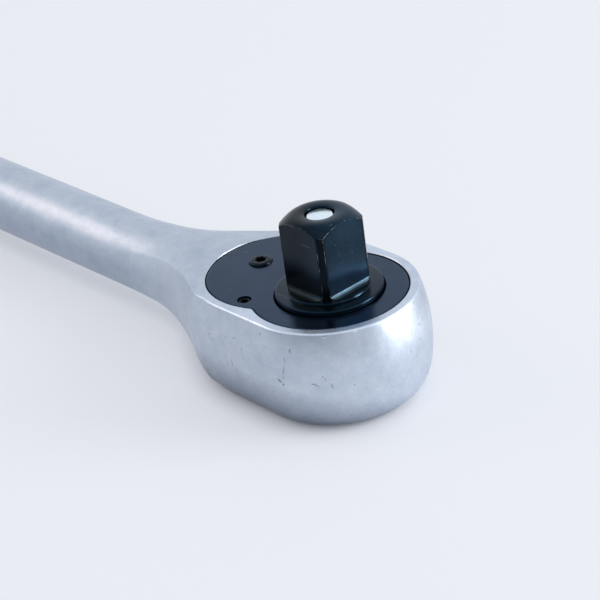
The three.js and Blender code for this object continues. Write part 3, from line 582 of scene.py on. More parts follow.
def scored_line(tree, place, start, end, half_width_mm):
    """How far a place lies within a scratch that runs between two points, from 0 to 1."""
    start, end = [Vector(in_metres(*point)) for point in (start, end)]
    run = end - start
    offset = vector_math(tree, "SUBTRACT", place, tuple(start))
    along = vector_math(tree, "DOT_PRODUCT", offset, tuple(run / run.length_squared), "Value")
    inside = rising(tree, along, 0.0, 1.0)
    nearest = add_node(tree, "ShaderNodeVectorMath", {"operation": "SCALE"}, Vector=tuple(run), Scale=inside)
    gap = vector_math(tree, "DISTANCE", offset, nearest.outputs["Vector"], "Value")
    return falling(tree, gap, half_width_mm / 2000, half_width_mm / 1000)


def strayed(tree, place, per_metre, reach_mm):
    """The place pushed about by fine noise, so that what is drawn with it has ragged edges."""
    swirl = noise(tree, place, per_metre, detail=3.0, roughness=0.6, output="Color")
    centred = vector_math(tree, "SUBTRACT", swirl, (0.5, 0.5, 0.5))
    push = vector_math(tree, "MULTIPLY", centred, (2 * reach_mm / 1000,) * 3)
    return vector_math(tree, "ADD", place, push)


WHITE = (1.0, 1.0, 1.0)
HEAD_MARKS = (
    ((5.8, -18.35, 17.7), (5.1, -18.94, 12.8), 0.16),
    ((4.1, -19.2, 12.4), (4.4, -19.1, 12.0), 0.28),
    ((5.0, -18.95, 11.6), (4.8, -19.0, 11.3), 0.24),
    ((10.5, -16.55, 12.35), (11.9, -15.55, 11.9), 0.17),
    ((12.6, -15.0, 13.95), (12.9, -14.8, 13.3), 0.22),
    ((13.6, -14.1, 12.4), (13.9, -13.9, 11.4), 0.2),
    ((15.2, -12.3, 14.1), (15.25, -12.3, 13.2), 0.15),
    ((6.8, -17.7, 19.2), (6.9, -17.7, 18.9), 0.22),
    ((19.45, 2.05, 14.2), (19.5, 2.2, 13.4), 0.2),
    ((19.2, 3.9, 11.95), (19.2, 4.0, 11.6), 0.24),
    ((-11.6, -19.6, 12.9), (-11.2, -19.6, 12.6), 0.2),
)


def satin_chrome_finish():
    """Plating over a blasted forging: sparkling grain, soft clouding and marked in use, with painted shade
    low down, towards the near side and under the shank, and painted highlights on the rim's top and the nose.
    """
    finish, tree, shader = new_finish("satin_chrome", 1.0, (0.5, 0.555, 0.64), 0.34)
    place = object_place(tree)
    axes = axes_of(tree, place)
    clouds = noise(tree, place, 95.0, detail=4.0, roughness=0.6)
    grain = noise(tree, place, 2600.0, detail=3.0, roughness=0.65)
    speckle = noise(tree, place, 900.0, detail=3.0, roughness=0.6)
    mottle = noise(tree, place, 330.0, detail=4.0, roughness=0.62)
    flecks = noise(tree, place, 1150.0, detail=4.0, roughness=0.7)
    drags = noise(tree, mapped(tree, place, Scale=(1.0, 1.0, 0.09)), 1500.0)

    on_head = rising(tree, axes["X"], 0.145, 0.16)
    worn_here = product(tree, rising(tree, clouds, 0.5, 0.6), on_head)
    marks = arithmetic(tree, "MAXIMUM", rising(tree, flecks, 0.64, 0.7), rising(tree, drags, 0.74, 0.78))
    knocks = product(tree, marks, worn_here)
    ragged = strayed(tree, place, 1300.0, 0.45)
    broken = spread(tree, speckle, 0.1, 0.75, 0.4, 0.6)
    for start, end, mark_width in HEAD_MARKS:
        faint = product(tree, scored_line(tree, ragged, start, end, mark_width), broken)
        knocks = arithmetic(tree, "MAXIMUM", knocks, faint)
    unmarked = arithmetic(tree, "SUBTRACT", 1.0, knocks)

    cloudy = spread(tree, clouds, 0.0, 0.45, 0.36, 0.64)
    patchy = arithmetic(tree, "ADD", cloudy, spread(tree, mottle, 0.0, 0.45, 0.34, 0.66))
    grainy = arithmetic(tree, "ADD", patchy, spread(tree, grain, -0.2, 0.4, 0.25, 0.75))
    chrome = mixed(tree, grainy, (0.43, 0.495, 0.59), (0.57, 0.62, 0.7))
    chrome = tinted(tree, chrome, unmarked, (0.3, 0.31, 0.33), WHITE)
    # Painted shade: the chrome is darkened low down and towards the near side, standing in for the shadowed
    # table reflected there.
    lowness = vector_math(tree, "DOT_PRODUCT", place, (0.0, 0.35, 1.0), "Value")
    chrome = tinted(tree, chrome, rising(tree, lowness, -0.0045, 0.0042), (0.3, 0.33, 0.38), WHITE)
    # Painted shade: the lower half of the shank is darkened, standing in for the shadowed floor it reflects.
    on_shank = falling(tree, axes["X"], 0.115, 0.15)
    painted_shade_under_shank = product(tree, on_shank, falling(tree, axes["Z"], 0.0125, 0.0165))
    chrome = tinted(tree, chrome, painted_shade_under_shank, WHITE, (0.72, 0.75, 0.79))
    # Painted highlight: the top of the rim is lightened, standing in for the bright room it reflects.
    on_top = rising(tree, axes["Z"], 0.0222, 0.0224)
    painted_highlight_on_rim = product(tree, on_top, rising(tree, axes["X"], 0.15, 0.172))
    chrome = tinted(tree, chrome, painted_highlight_on_rim, WHITE, (1.22,) * 3)
    # Painted highlight: the nose of the head below the rim is lightened, standing in for the low lamp's
    # reflection.
    in_front = rising(tree, axes["X"], 0.182, 0.198)
    painted_highlight_on_nose = product(tree, in_front, falling(tree, axes["Z"], 0.0165, 0.0195))
    chrome = tinted(tree, chrome, painted_highlight_on_nose, WHITE, (1.14,) * 3)

    dull = arithmetic(tree, "ADD", spread(tree, speckle, 0.31, 0.46), spread(tree, clouds, -0.06, 0.06))
    wave = relief(tree, clouds, 0.1, 0.5)
    dimpled = relief(tree, mottle, 0.06, 0.55, wave)
    fine = relief(tree, grain, 0.03, 0.6, dimpled)
    pitted = relief(tree, unmarked, 0.12, 0.8, fine)
    give_all(tree, shader, Base_Color=chrome, Roughness=dull, Normal=pitted)
    return finish


soften(forging)
coat(forging, satin_chrome_finish())
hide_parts("forged_body")
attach(forging, "head")

# The reversing lever is a flat steel key let into the back of the head, with a ribbed thumb tab.
# It is blackened like the drive. Its stem runs up through the floor and carries the shift cam,
# which a spring clip holds on, and a sprung ball drops into a groove in the hub.
LEVER_BOTTOM = 0.35
LEVER_TOP = 3.35
LEVER_SWING = math.radians(-45)
LEVER_RIBS = (8.3, 9.6, 10.9, 12.2)
STEM_RADIUS = 1.7
STEM_SHOULDER = 7.0
STEM_TOP = 9.1
CAM_SEAT_RADIUS = 1.2
CLIP_GROOVE_RADIUS = 0.9
CLIP_GROOVE_BOTTOM, CLIP_GROOVE_TOP = 8.25, 8.9
DARK_OXIDE = (0.006, 0.015, 0.026)
PALE_OXIDE = (0.013, 0.029, 0.048)


def black_oxide_finish(name, dark, pale, dull, patch_scale=140.0, patch_low=0.3, patch_high=0.75):
    """Steel blackened in a hot salt bath: blue-black, a little cloudy, with fine scratches and dust."""
    finish, tree, shader = new_finish(name, 0.93, dark, dull)
    place = object_place(tree)
    clouds = noise(tree, place, patch_scale, detail=4.0, roughness=0.6)
    grain = noise(tree, place, 3000.0)
    stretched = mapped(tree, place, Rotation=(0.3, 0.5, 0.8), Scale=(1.0, 14.0, 14.0))
    scratches = rising(tree, noise(tree, stretched, 160.0), 0.7, 0.74)
    body = mixed(tree, rising(tree, clouds, patch_low, patch_high), dark, pale)
    worn = mixed(tree, product(tree, scratches, 0.35), body, (0.2, 0.23, 0.26))
    uneven = spread(tree, clouds, dull - 0.07, dull + 0.09)
    skin = relief(tree, grain, 0.012, 0.4, relief(tree, clouds, 0.02, 0.3))
    give_all(tree, shader, Base_Color=worn, Roughness=uneven, Normal=skin)
    return finish


def lever_outline(growth):
    hub, tip, reach = 5.6, 2.5, 10.7
    lean = math.acos((hub - tip) / reach)
    hub_angles = even_steps(math.pi + lean, 3 * math.pi - lean, 48)
    tip_angles = even_steps(math.pi - lean, math.pi + lean, 16)
    loop = [on_circle(hub + growth, a) for a in hub_angles]
    loop += [on_circle(tip + growth, a, -reach) for a in tip_angles]
    return shifted(rotated(loop, LEVER_SWING), SELECTOR_X)


def lever_rib_groove(reach):
    """A shallow groove across the thumb tab, at a distance from the lever's axis."""
    half_groove, half_length = 0.35, 3.4

    def outline(growth):
        half = half_groove + growth
        corners = [(-half, -half_length), (half, -half_length), (half, half_length), (-half, half_length)]
        return shifted(rotated(shifted(corners, reach), math.pi + LEVER_SWING), SELECTOR_X)
    return drawn_up(outline, [
        (0.25, LEVER_BOTTOM - 0.5), (0.0, LEVER_BOTTOM + 0.05), (0.2, LEVER_BOTTOM + 0.45),
    ])


def detent_track(growth):
    inner, outer = 2.9 - growth, 4.9 + growth
    angles = even_steps(math.radians(75), math.radians(195), 30)
    loop = [on_circle(outer, a) for a in angles]
    loop += [on_circle(inner, a) for a in reversed(angles)]
    return shifted(loop, SELECTOR_X)


def turned(name, profile, x=0.0, sides=96):
    """A solid turned from (radius, height) points, which end on the axis or at the first one if hollow."""
    points = []
    faces = []
    rows = []
    for radius, height in profile:
        if radius == 0.0:
            rows.append([len(points)] * sides)
            points.append((x, 0.0, height))
            continue
        rows.append(range(len(points), len(points) + sides))
        points += [(*on_circle(radius, 2 * math.pi * i / sides, x), height) for i in range(sides)]
    pairs = list(zip(rows, rows[1:]))
    if profile[0][0] != 0.0:
        pairs.append((rows[-1], rows[0]))
    for lower, upper in pairs:
        for i in range(sides):
            j = (i + 1) % sides
            corners = tuple(dict.fromkeys((lower[i], lower[j], upper[j], upper[i])))
            if len(corners) > 2:
                faces.append(corners)
    return new_piece(name, points, faces)


lever = drawn_up(lever_outline, [
    (-0.45, LEVER_BOTTOM), (-0.13, LEVER_BOTTOM + 0.13), (0.0, LEVER_BOTTOM + 0.45),
    (0.0, LEVER_TOP - 0.2), (-0.2, LEVER_TOP),
], "thumb_lever")
stem_bottom = LEVER_TOP - 0.3
combine(lever, [turned("stem", [
    (0.0, stem_bottom), (STEM_RADIUS, stem_bottom), (STEM_RADIUS, STEM_SHOULDER),
    (CAM_SEAT_RADIUS, STEM_SHOULDER + 0.05), (CAM_SEAT_RADIUS, CLIP_GROOVE_BOTTOM),
    (CLIP_GROOVE_RADIUS, CLIP_GROOVE_BOTTOM), (CLIP_GROOVE_RADIUS, CLIP_GROOVE_TOP),
    (CAM_SEAT_RADIUS, CLIP_GROOVE_TOP), (CAM_SEAT_RADIUS, STEM_TOP - 0.1),
    (CAM_SEAT_RADIUS - 0.15, STEM_TOP), (0.0, STEM_TOP),
], SELECTOR_X, 32)], "UNION")
lever_tools = [lever_rib_groove(reach) for reach in LEVER_RIBS]
lever_tools.append(drawn_up(detent_track, [(0.0, LEVER_TOP - 0.5), (0.0, LEVER_TOP + 0.3)]))
combine(lever, lever_tools, "DIFFERENCE")
soften(lever)
black_steel = black_oxide_finish("black_steel", DARK_OXIDE, PALE_OXIDE, 0.2)
coat(lever, black_steel)
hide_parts("reverse_lever")
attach(lever, "selector")


def plain_steel_finish(name, colour, dull):
    """Drawn or ground steel: fine tool marks and a slightly uneven polish."""
    finish, tree, shader = new_finish(name, 1.0, colour, dull)
    place = object_place(tree)
    marks = noise(tree, mapped(tree, place, Scale=(1.0, 1.0, 0.08)), 3200.0)
    clouds = noise(tree, place, 260.0)
    deep = tuple(channel * 0.86 for channel in colour)
    pale = tuple(min(1.0, channel * 1.08) for channel in colour)
    give_all(tree, shader, Base_Color=mixed(tree, clouds, deep, pale),
             Roughness=spread(tree, marks, dull - 0.06, dull + 0.08), Normal=relief(tree, marks, 0.01, 0.35))
    return finish


spring_steel = plain_steel_finish("spring_steel", (0.46, 0.48, 0.5), 0.3)
bright_steel = plain_steel_finish("bright_steel", (0.8, 0.83, 0.86), 0.22)
for cad_name in ("shift_cam", "cam_clip", "detent_spring"):
    coat(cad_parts[cad_name], spring_steel)
coat(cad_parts["detent_ball"], bright_steel)
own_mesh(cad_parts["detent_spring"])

# Each pawl is a small blackened steel claw that turns on a slotted spring pin pressed into the floor.
# The pins come up through the cover plate, where their dark rolled ends show, and locate it.
# A little coil spring in a well behind each pawl pushes it into the gear.
PIN_BOTTOM = 3.0
PIN_END = 22.1


def rolled_pin_outline(x, y, gap_turn):
    outer, inner, half_gap = 1.3, 0.68, math.radians(22)
    angles = even_steps(half_gap, 2 * math.pi - half_gap, 28)

    def outline(growth):
        loop = [on_circle(outer + growth, a) for a in angles]
        loop += [on_circle(inner - growth, a) for a in reversed(angles)]
        return shifted(rotated(loop, gap_turn), x, y)
    return outline


pin_steel = black_oxide_finish("dark_spring_steel", (0.004, 0.007, 0.011), (0.01, 0.014, 0.02), 0.34)
for side_name, side, gap_turn in (("far", 1, 0.4), ("near", -1, -0.5)):
    pin = drawn_up(rolled_pin_outline(PAWL_PIVOT[0], side * PAWL_PIVOT[1], gap_turn), [
        (-0.18, PIN_BOTTOM), (0.0, PIN_BOTTOM + 0.3), (0.0, PIN_END - 0.3), (-0.1, PIN_END - 0.08),
        (-0.2, PIN_END),
    ], f"rolled_pin_{side_name}")
    soften(pin)
    coat(pin, pin_steel)
    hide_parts(f"pawl_pin_{side_name}")
    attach(pin, "head")
    coat(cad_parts[f"pawl_{side_name}"], black_steel)
    coat(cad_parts[f"pawl_spring_{side_name}"], spring_steel)
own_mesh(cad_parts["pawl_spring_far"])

# The drive is one turned and milled piece of steel: journal, toothed gear, round collar and square.
# It is blackened all over, and the edges of the square are rubbed bright by sockets.
# A bronze washer lies under the gear and a rubber ring seals the journal in the floor.
GEAR_BOTTOM = 7.9
GEAR_TOP = 20.15
GEAR_RADIUS = 13.3
GEAR_ROOT = 12.15
GEAR_CHAMFER = 0.25
TOOTH_COUNT = 36
TOOTH_HALF_TIP = 0.25
TOOTH_SLOPE = math.radians(30)
JOURNAL_RADIUS = 7.6
JOURNAL_BOTTOM = 0.5
SEAL_GROOVE_RADIUS = 6.4
SEAL_GROOVE_BOTTOM, SEAL_GROOVE_TOP = 2.95, 4.25
COLLAR_RADIUS = 11.0
COLLAR_BOTTOM = GEAR_TOP - 0.5
COLLAR_TOP = 23.5
BAR_RADIUS = 8.3
SQUARE_HALF = 6.35
SQUARE_BOTTOM = 24.15
FLAT_RUNOUT = 1.15
DRIVE_TIP = 39.65
TIP_DOME = ((7.4, 1.12), (6.8, 0.68), (6.3, 0.38), (5.8, 0.17), (5.3, 0.05), (4.8, 0.0))
PIN_BORE = 2.95
PIN_BORE_BOTTOM = 23.25
PIN_STEM_BORE = 2.15
BUTTON_BORE = 4.75
BUTTON_BORE_TOP = 10.7
BALL_HEIGHT = 32.35
BALL_HOLE = 2.35


def gear_outline(growth):
    pitch = 2 * math.pi / TOOTH_COUNT
    tip = TOOTH_HALF_TIP / GEAR_RADIUS
    foot = (TOOTH_HALF_TIP + (GEAR_RADIUS - GEAR_ROOT) * math.tan(TOOTH_SLOPE)) / GEAR_ROOT
    tooth = [(GEAR_ROOT, -foot), (GEAR_RADIUS, -tip), (GEAR_RADIUS, tip), (GEAR_ROOT, foot)]
    points = []
    for number in range(TOOTH_COUNT):
        middle = (number + 0.5) * pitch
        points += [on_circle(radius + growth, middle + turn) for radius, turn in tooth]
    return points


def flat_cutter(turn):
    """What the mill takes off one side of the bar, with the round run-out at the foot of the flat."""
    far, half_length = BAR_RADIUS + 2.0, 10.0
    profile = [(far, DRIVE_TIP + OVERCUT), (SQUARE_HALF, DRIVE_TIP + OVERCUT)]
    middle = (SQUARE_HALF + FLAT_RUNOUT, SQUARE_BOTTOM + FLAT_RUNOUT)
    profile += [on_circle(FLAT_RUNOUT, angle, *middle) for angle in even_steps(math.pi, 1.5 * math.pi, 8)]
    profile.append((far, SQUARE_BOTTOM))
    points = []
    for across in (-half_length, half_length):
        placed = rotated([(out, across) for out, height in profile], turn)
        points += [(x, y, height) for (x, y), (out, height) in zip(placed, profile)]
    count = len(profile)
    return new_piece("mill", points, end_faces(points, count) + faces_between(2, count))


square_drive = turned("square_drive", [
    (BUTTON_BORE, JOURNAL_BOTTOM), (JOURNAL_RADIUS - 0.3, JOURNAL_BOTTOM),
    (JOURNAL_RADIUS, JOURNAL_BOTTOM + 0.3), (JOURNAL_RADIUS, SEAL_GROOVE_BOTTOM),
    (SEAL_GROOVE_RADIUS, SEAL_GROOVE_BOTTOM), (SEAL_GROOVE_RADIUS, SEAL_GROOVE_TOP),
    (JOURNAL_RADIUS, SEAL_GROOVE_TOP), (JOURNAL_RADIUS, COLLAR_BOTTOM), (COLLAR_RADIUS, COLLAR_BOTTOM),
    (COLLAR_RADIUS, COLLAR_TOP - 0.42), (COLLAR_RADIUS - 0.12, COLLAR_TOP - 0.14),
    (COLLAR_RADIUS - 0.42, COLLAR_TOP), (BAR_RADIUS + 0.35, COLLAR_TOP), (BAR_RADIUS + 0.1, COLLAR_TOP + 0.1),
    (BAR_RADIUS, COLLAR_TOP + 0.35), (BAR_RADIUS, DRIVE_TIP - 2.05), (BAR_RADIUS - 0.08, DRIVE_TIP - 1.8),
    *[(radius, DRIVE_TIP - drop) for radius, drop in TIP_DOME],
    (PIN_BORE + 0.35, DRIVE_TIP), (PIN_BORE + 0.1, DRIVE_TIP - 0.1), (PIN_BORE, DRIVE_TIP - 0.35),
    (PIN_BORE, PIN_BORE_BOTTOM), (PIN_STEM_BORE, PIN_BORE_BOTTOM), (PIN_STEM_BORE, BUTTON_BORE_TOP),
    (BUTTON_BORE, BUTTON_BORE_TOP),
], sides=144)
gear = drawn_up(gear_outline, [
    (-GEAR_CHAMFER, GEAR_BOTTOM), (0.0, GEAR_BOTTOM + GEAR_CHAMFER), (0.0, GEAR_TOP - GEAR_CHAMFER),
    (-GEAR_CHAMFER, GEAR_TOP),
], "gear")
combine(gear, [hole(disc(0, 0, JOURNAL_RADIUS - 0.1, 96), GEAR_BOTTOM - OVERCUT, GEAR_TOP)], "DIFFERENCE")
combine(square_drive, [gear], "UNION")
ball_hole = hole(disc(0, 0, BALL_HOLE, 40), 0.0, SQUARE_HALF, lip=0.2)
flats = [flat_cutter(side * math.pi / 2) for side in range(4)]
combine(square_drive, [*flats, laid_over(ball_hole, -math.pi / 2, 0.0, 0.0, BALL_HEIGHT)], "DIFFERENCE")


def break_edges(piece, chosen, width_mm, finish_index):
    """Rubs down the chosen sharp edges by a small round, in the finish of that index."""
    mesh = piece.data
    work = bmesh.new()
    work.from_mesh(mesh)
    bmesh.ops.dissolve_degenerate(work, edges=work.edges, dist=1e-6)
    work.to_mesh(mesh)
    weight = mesh.attributes.new("bevel_weight_edge", "FLOAT", "EDGE")
    work.edges.ensure_lookup_table()
    for edge in work.edges:
        if len(edge.link_faces) == 2 and edge.calc_face_angle_signed(0.0) > math.radians(18):
            middle = (edge.verts[0].co + edge.verts[1].co) / 2
            if chosen(middle):
                weight.data[edge.index].value = 1.0
    work.free()
    bevel = piece.modifiers.new("edges", "BEVEL")
    bevel.limit_method = "WEIGHT"
    bevel.width = width_mm / 1000
    bevel.segments = 2
    bevel.material = finish_index
    apply_modifiers(piece)


def on_square(middle):
    radius = math.hypot(middle.x - DRIVE_X / 1000, middle.y) * 1000
    return middle.z * 1000 > SQUARE_BOTTOM + 0.3 and radius > SQUARE_HALF - 0.1


def paint_drive_shade_and_highlights(finish):
    """Paints light and shade on the drive: the turned corners darker than the flats as a painted dark
    reflection, a painted grey highlight at the foot of the flats, and one side of the square lighter than the
    other.
    """
    tree = finish.node_tree
    colour_in = tree.nodes["Principled BSDF"].inputs["Base Color"]
    oxide = colour_in.links[0].from_socket
    place = object_place(tree)
    from_axis = vector_math(tree, "SUBTRACT", place, (DRIVE_X / 1000, 0.0, 0.0))
    flat = vector_math(tree, "MULTIPLY", from_axis, (1.0, 1.0, 0.0))
    radius = vector_math(tree, "DISTANCE", flat, (0.0, 0.0, 0.0), "Value")
    height = axes_of(tree, place)["Z"]
    # Painted dark reflection: the turned corners above the collar are darkened.
    above_collar = rising(tree, height, 0.0239, 0.0243)
    corner = product(tree, rising(tree, radius, 0.008, 0.0082), above_collar)
    oxide = tinted(tree, oxide, corner, WHITE, (0.3, 0.3, 0.32))
    # Painted highlight: the foot of the flats is tinted grey, where the run-out fillets catch the light.
    foot = product(tree, falling(tree, height, 0.0247, 0.0253), rising(tree, height, 0.024, 0.02412))
    oxide = tinted(tree, oxide, foot, WHITE, (1.65, 1.2, 1.0))
    # Painted light: the square is darker on one side and lighter on the other, as the faces catch light
    # differently.
    across = vector_math(tree, "DOT_PRODUCT", flat, (1.0, 1.0, 0.0), "Value")
    side = spread(tree, across, -0.55, 0.45, -0.006, 0.005)
    painted_side_light = arithmetic(tree, "ADD", product(tree, side, above_collar), 0.55)
    give(tree, colour_in, tinted(tree, oxide, painted_side_light, (0.45, 0.48, 0.47), (1.42, 1.52, 1.52)))


drive_black = black_oxide_finish("drive_black", DARK_OXIDE, PALE_OXIDE, 0.2)
paint_drive_shade_and_highlights(drive_black)
rubbed_edge = black_oxide_finish(
    "rubbed_edge", (0.01, 0.017, 0.024), (0.36, 0.38, 0.4), 0.34,
    patch_scale=420.0, patch_low=0.5, patch_high=0.6,
)
coat(square_drive, drive_black, rubbed_edge)
break_edges(square_drive, on_square, 0.14, 1)
soften(square_drive)
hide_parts("drive_gear")
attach(square_drive, "drive")


def bronze_finish():
    """Sintered bronze: warm, slightly porous and dull."""
    finish, tree, shader = new_finish("plain_bronze", 1.0, (0.5, 0.35, 0.18), 0.42)
    pores = noise(tree, object_place(tree), 1500.0, detail=3.0)
    warm = mixed(tree, pores, (0.4, 0.27, 0.13), (0.58, 0.42, 0.23))
    give_all(tree, shader, Base_Color=warm, Normal=relief(tree, pores, 0.02, 0.4))
    return finish


def rubber_finish():
    """Black moulded rubber with a faint bloom."""
    finish, tree, shader = new_finish("seal_rubber", 0.0, (0.02, 0.02, 0.02), 0.8)
    bloom = noise(tree, object_place(tree), 700.0, detail=3.0)
    give_all(tree, shader, Base_Color=mixed(tree, bloom, (0.014, 0.014, 0.014), (0.03, 0.03, 0.031)),
             Roughness=spread(tree, bloom, 0.7, 0.88), Normal=relief(tree, bloom, 0.02, 0.3))
    return finish


coat(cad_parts["thrust_washer"], bronze_finish())
coat(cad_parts["journal_seal"], rubber_finish())

# The socket release runs through the drive: a ground steel pin whose bright end shows in the tip,
# a coil spring round it, and a button pressed on its lower end in the back of the head.
# A hardened ball in the flat towards the handle holds the socket and drops in when the button is pushed.
PLUNGER_RADIUS = 2.7
PLUNGER_NECK = 1.615
PLUNGER_NECK_BOTTOM, PLUNGER_NECK_TOP = 27.55, 29.65
PLUNGER_RAMP_TOP = 32.75
PLUNGER_STEM = 1.9
PLUNGER_BOTTOM = 1.0
PLUNGER_TIP = 39.25
BUTTON_RADIUS = 4.5
BUTTON_TOP = 3.0
BUTTON_DISH = ((0.0, 1.25), (2.2, 1.2), (3.4, 1.02), (4.05, 0.82), (4.3, 0.82), (4.46, 0.92))
BUTTON_HOLE, BUTTON_HOLE_BOTTOM = 2.0, 1.6
BALL_RADIUS = 2.1
BALL_OFFSET = -5.15


def lathe_faced_finish():
    """Steel faced on a lathe: bright, with fine rings round the drive's axis."""
    finish, tree, shader = new_finish("faced_steel", 1.0, (0.88, 0.92, 0.97), 0.24)
    place = object_place(tree)
    centred = mapped(tree, place, Location=(-DRIVE_X / 1000, 0.0, 0.0))
    round_axis = {"wave_type": "RINGS", "rings_direction": "Z"}
    waves = add_node(tree, "ShaderNodeTexWave", round_axis, Vector=centred, Scale=1100.0, Distortion=0.6)
    rings = waves.outputs["Fac"]
    bright = mixed(tree, noise(tree, place, 420.0), (0.79, 0.9, 1.0), (0.88, 0.97, 1.0))
    give_all(tree, shader, Base_Color=bright, Roughness=spread(tree, rings, 0.2, 0.32),
             Normal=relief(tree, rings, 0.004, 0.25))
    return finish


faced_steel = lathe_faced_finish()
plunger = turned("plunger", [
    (0.0, PLUNGER_BOTTOM), (PLUNGER_STEM - 0.2, PLUNGER_BOTTOM), (PLUNGER_STEM, PLUNGER_BOTTOM + 0.2),
    (PLUNGER_STEM, COLLAR_TOP), (PLUNGER_RADIUS, COLLAR_TOP), (PLUNGER_RADIUS, PLUNGER_NECK_BOTTOM),
    (PLUNGER_NECK, PLUNGER_NECK_BOTTOM), (PLUNGER_NECK, PLUNGER_NECK_TOP),
    (PLUNGER_RADIUS, PLUNGER_RAMP_TOP), (PLUNGER_RADIUS, PLUNGER_TIP - 0.35),
    (PLUNGER_RADIUS - 0.06, PLUNGER_TIP - 0.13), (PLUNGER_RADIUS - 0.25, PLUNGER_TIP - 0.02),
    (0.0, PLUNGER_TIP),
], sides=64)
soften(plunger)
coat(plunger, faced_steel)
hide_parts("release_pin")
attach(plunger, "release")

thumb_button = turned("thumb_button", [
    *BUTTON_DISH, (BUTTON_RADIUS, 1.1), (BUTTON_RADIUS, BUTTON_TOP - 0.1), (BUTTON_RADIUS - 0.1, BUTTON_TOP),
    (BUTTON_HOLE + 0.05, BUTTON_TOP), (BUTTON_HOLE, BUTTON_TOP - 0.1), (BUTTON_HOLE, BUTTON_HOLE_BOTTOM),
    (0.0, BUTTON_HOLE_BOTTOM),
])
soften(thumb_button)
coat(thumb_button, faced_steel)
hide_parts("release_button")
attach(thumb_button, "release")
coat(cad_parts["release_spring"], spring_steel)
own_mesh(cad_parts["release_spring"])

ball_mesh = bpy.data.meshes.new("socket_ball")
work = bmesh.new()
bmesh.ops.create_icosphere(work, subdivisions=4, radius=BALL_RADIUS / 1000)
bmesh.ops.translate(work, verts=work.verts, vec=in_metres(BALL_OFFSET, 0.0, BALL_HEIGHT))
work.to_mesh(ball_mesh)
work.free()
ball_mesh.shade_smooth()
socket_ball = add_object("socket_ball", ball_mesh)
coat(socket_ball, bright_steel)
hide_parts("lock_ball")
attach(socket_ball, "ball")

# The cover plate is stamped from sheet steel to the outline of two round lobes and blackened.
# It drops into the recess in the head, over the gear's shoulder and the two pins.
# Its top is a smooth blue-black, and its punched edges are a little rounded.
PLATE_BOTTOM = 20.35
PLATE_TOP = 22.4
PLATE_GAP = 0.25
PLATE_BORE = 11.25
PLATE_PIN_HOLE = 1.45
SCREW_SEAT_HEIGHT = 21.55
SCREW_SEAT_RADIUS = 2.5
plate = drawn_up(two_lobes(RECESS_RADIUS - PLATE_GAP, WAIST_FILLET + PLATE_GAP), [
    (-0.1, PLATE_BOTTOM), (0.0, PLATE_BOTTOM + 0.1), (0.0, PLATE_TOP - 0.3), (-0.06, PLATE_TOP - 0.1),
    (-0.18, PLATE_TOP - 0.02), (-0.32, PLATE_TOP),
], "lobed_plate")
under_plate = PLATE_BOTTOM - OVERCUT
combine(plate, [
    hole(disc(0, 0, PLATE_BORE, 144), under_plate, PLATE_TOP, lip=0.2),
    hole(disc(SCREW_X, 0, SCREW_HOLE, 32), under_plate, PLATE_TOP),
    hole(disc(SCREW_X, 0, SCREW_SEAT_RADIUS, 64), SCREW_SEAT_HEIGHT, PLATE_TOP, lip=0.06),
    *pin_holes(PLATE_PIN_HOLE, 40, under_plate, PLATE_TOP, lip=0.08),
], "DIFFERENCE")
soften(plate)
coat(plate, black_oxide_finish("plate_black", (0.016, 0.036, 0.074), (0.026, 0.05, 0.092), 0.23))
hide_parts("cover_plate")
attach(plate, "head")

# One black socket screw on the handle's line holds the plate down.
# It is cold-headed steel with a rolled thread.
# Its head stands a little proud of the plate, with rounded edges and a six-lobed socket.
SCREW_TIP = 14.45
SCREW_SHANK = 1.25
SCREW_SHANK_BOTTOM = 21.0
SCREW_HEAD_RADIUS = 2.4
SCREW_HEAD_BOTTOM = 21.65
SCREW_HEAD_TOP = 22.95
SOCKET_DEPTH = 0.9
SOCKET_RADIUS, SOCKET_LOBE = 1.12, 0.17
THREAD_COUNT, THREAD_PITCH = 8, 0.7
THREAD_ROOT, THREAD_CREST = 1.02, 1.22


def six_lobes(growth):
    angles = [2 * math.pi * step / 72 for step in range(72)]
    return [on_circle(SOCKET_RADIUS + SOCKET_LOBE * math.cos(6 * a) + growth, a, SCREW_X) for a in angles]


screw_profile = [(0.0, SCREW_TIP), (0.9, SCREW_TIP)]
for thread in range(THREAD_COUNT):
    height = SCREW_TIP + 0.3 + THREAD_PITCH * thread
    screw_profile += [
        (THREAD_ROOT, height - 0.1), (THREAD_CREST, height + 0.2), (THREAD_CREST, height + 0.3),
        (THREAD_ROOT, height + 0.6),
    ]
screw_profile += [
    (SCREW_SHANK - 0.15, SCREW_SHANK_BOTTOM - 0.4), (SCREW_SHANK, SCREW_SHANK_BOTTOM),
    (SCREW_SHANK, SCREW_HEAD_BOTTOM), (SCREW_HEAD_RADIUS - 0.1, SCREW_HEAD_BOTTOM),
    (SCREW_HEAD_RADIUS, SCREW_HEAD_BOTTOM + 0.1), (SCREW_HEAD_RADIUS, SCREW_HEAD_TOP - 0.6),
    (SCREW_HEAD_RADIUS - 0.04, SCREW_HEAD_TOP - 0.35), (SCREW_HEAD_RADIUS - 0.18, SCREW_HEAD_TOP - 0.13),
    (SCREW_HEAD_RADIUS - 0.4, SCREW_HEAD_TOP - 0.02), (SCREW_HEAD_RADIUS - 0.6, SCREW_HEAD_TOP),
    (0.0, SCREW_HEAD_TOP),
]
screw = turned("plate_screw", screw_profile, SCREW_X, 64)
combine(screw, [hole(six_lobes, SCREW_HEAD_TOP - SOCKET_DEPTH, SCREW_HEAD_TOP, lip=0.1)], "DIFFERENCE")
soften(screw)
coat(screw, black_oxide_finish("screw_black", (0.004, 0.008, 0.014), (0.011, 0.018, 0.028), 0.24))
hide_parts("cover_screw")
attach(screw, "head")

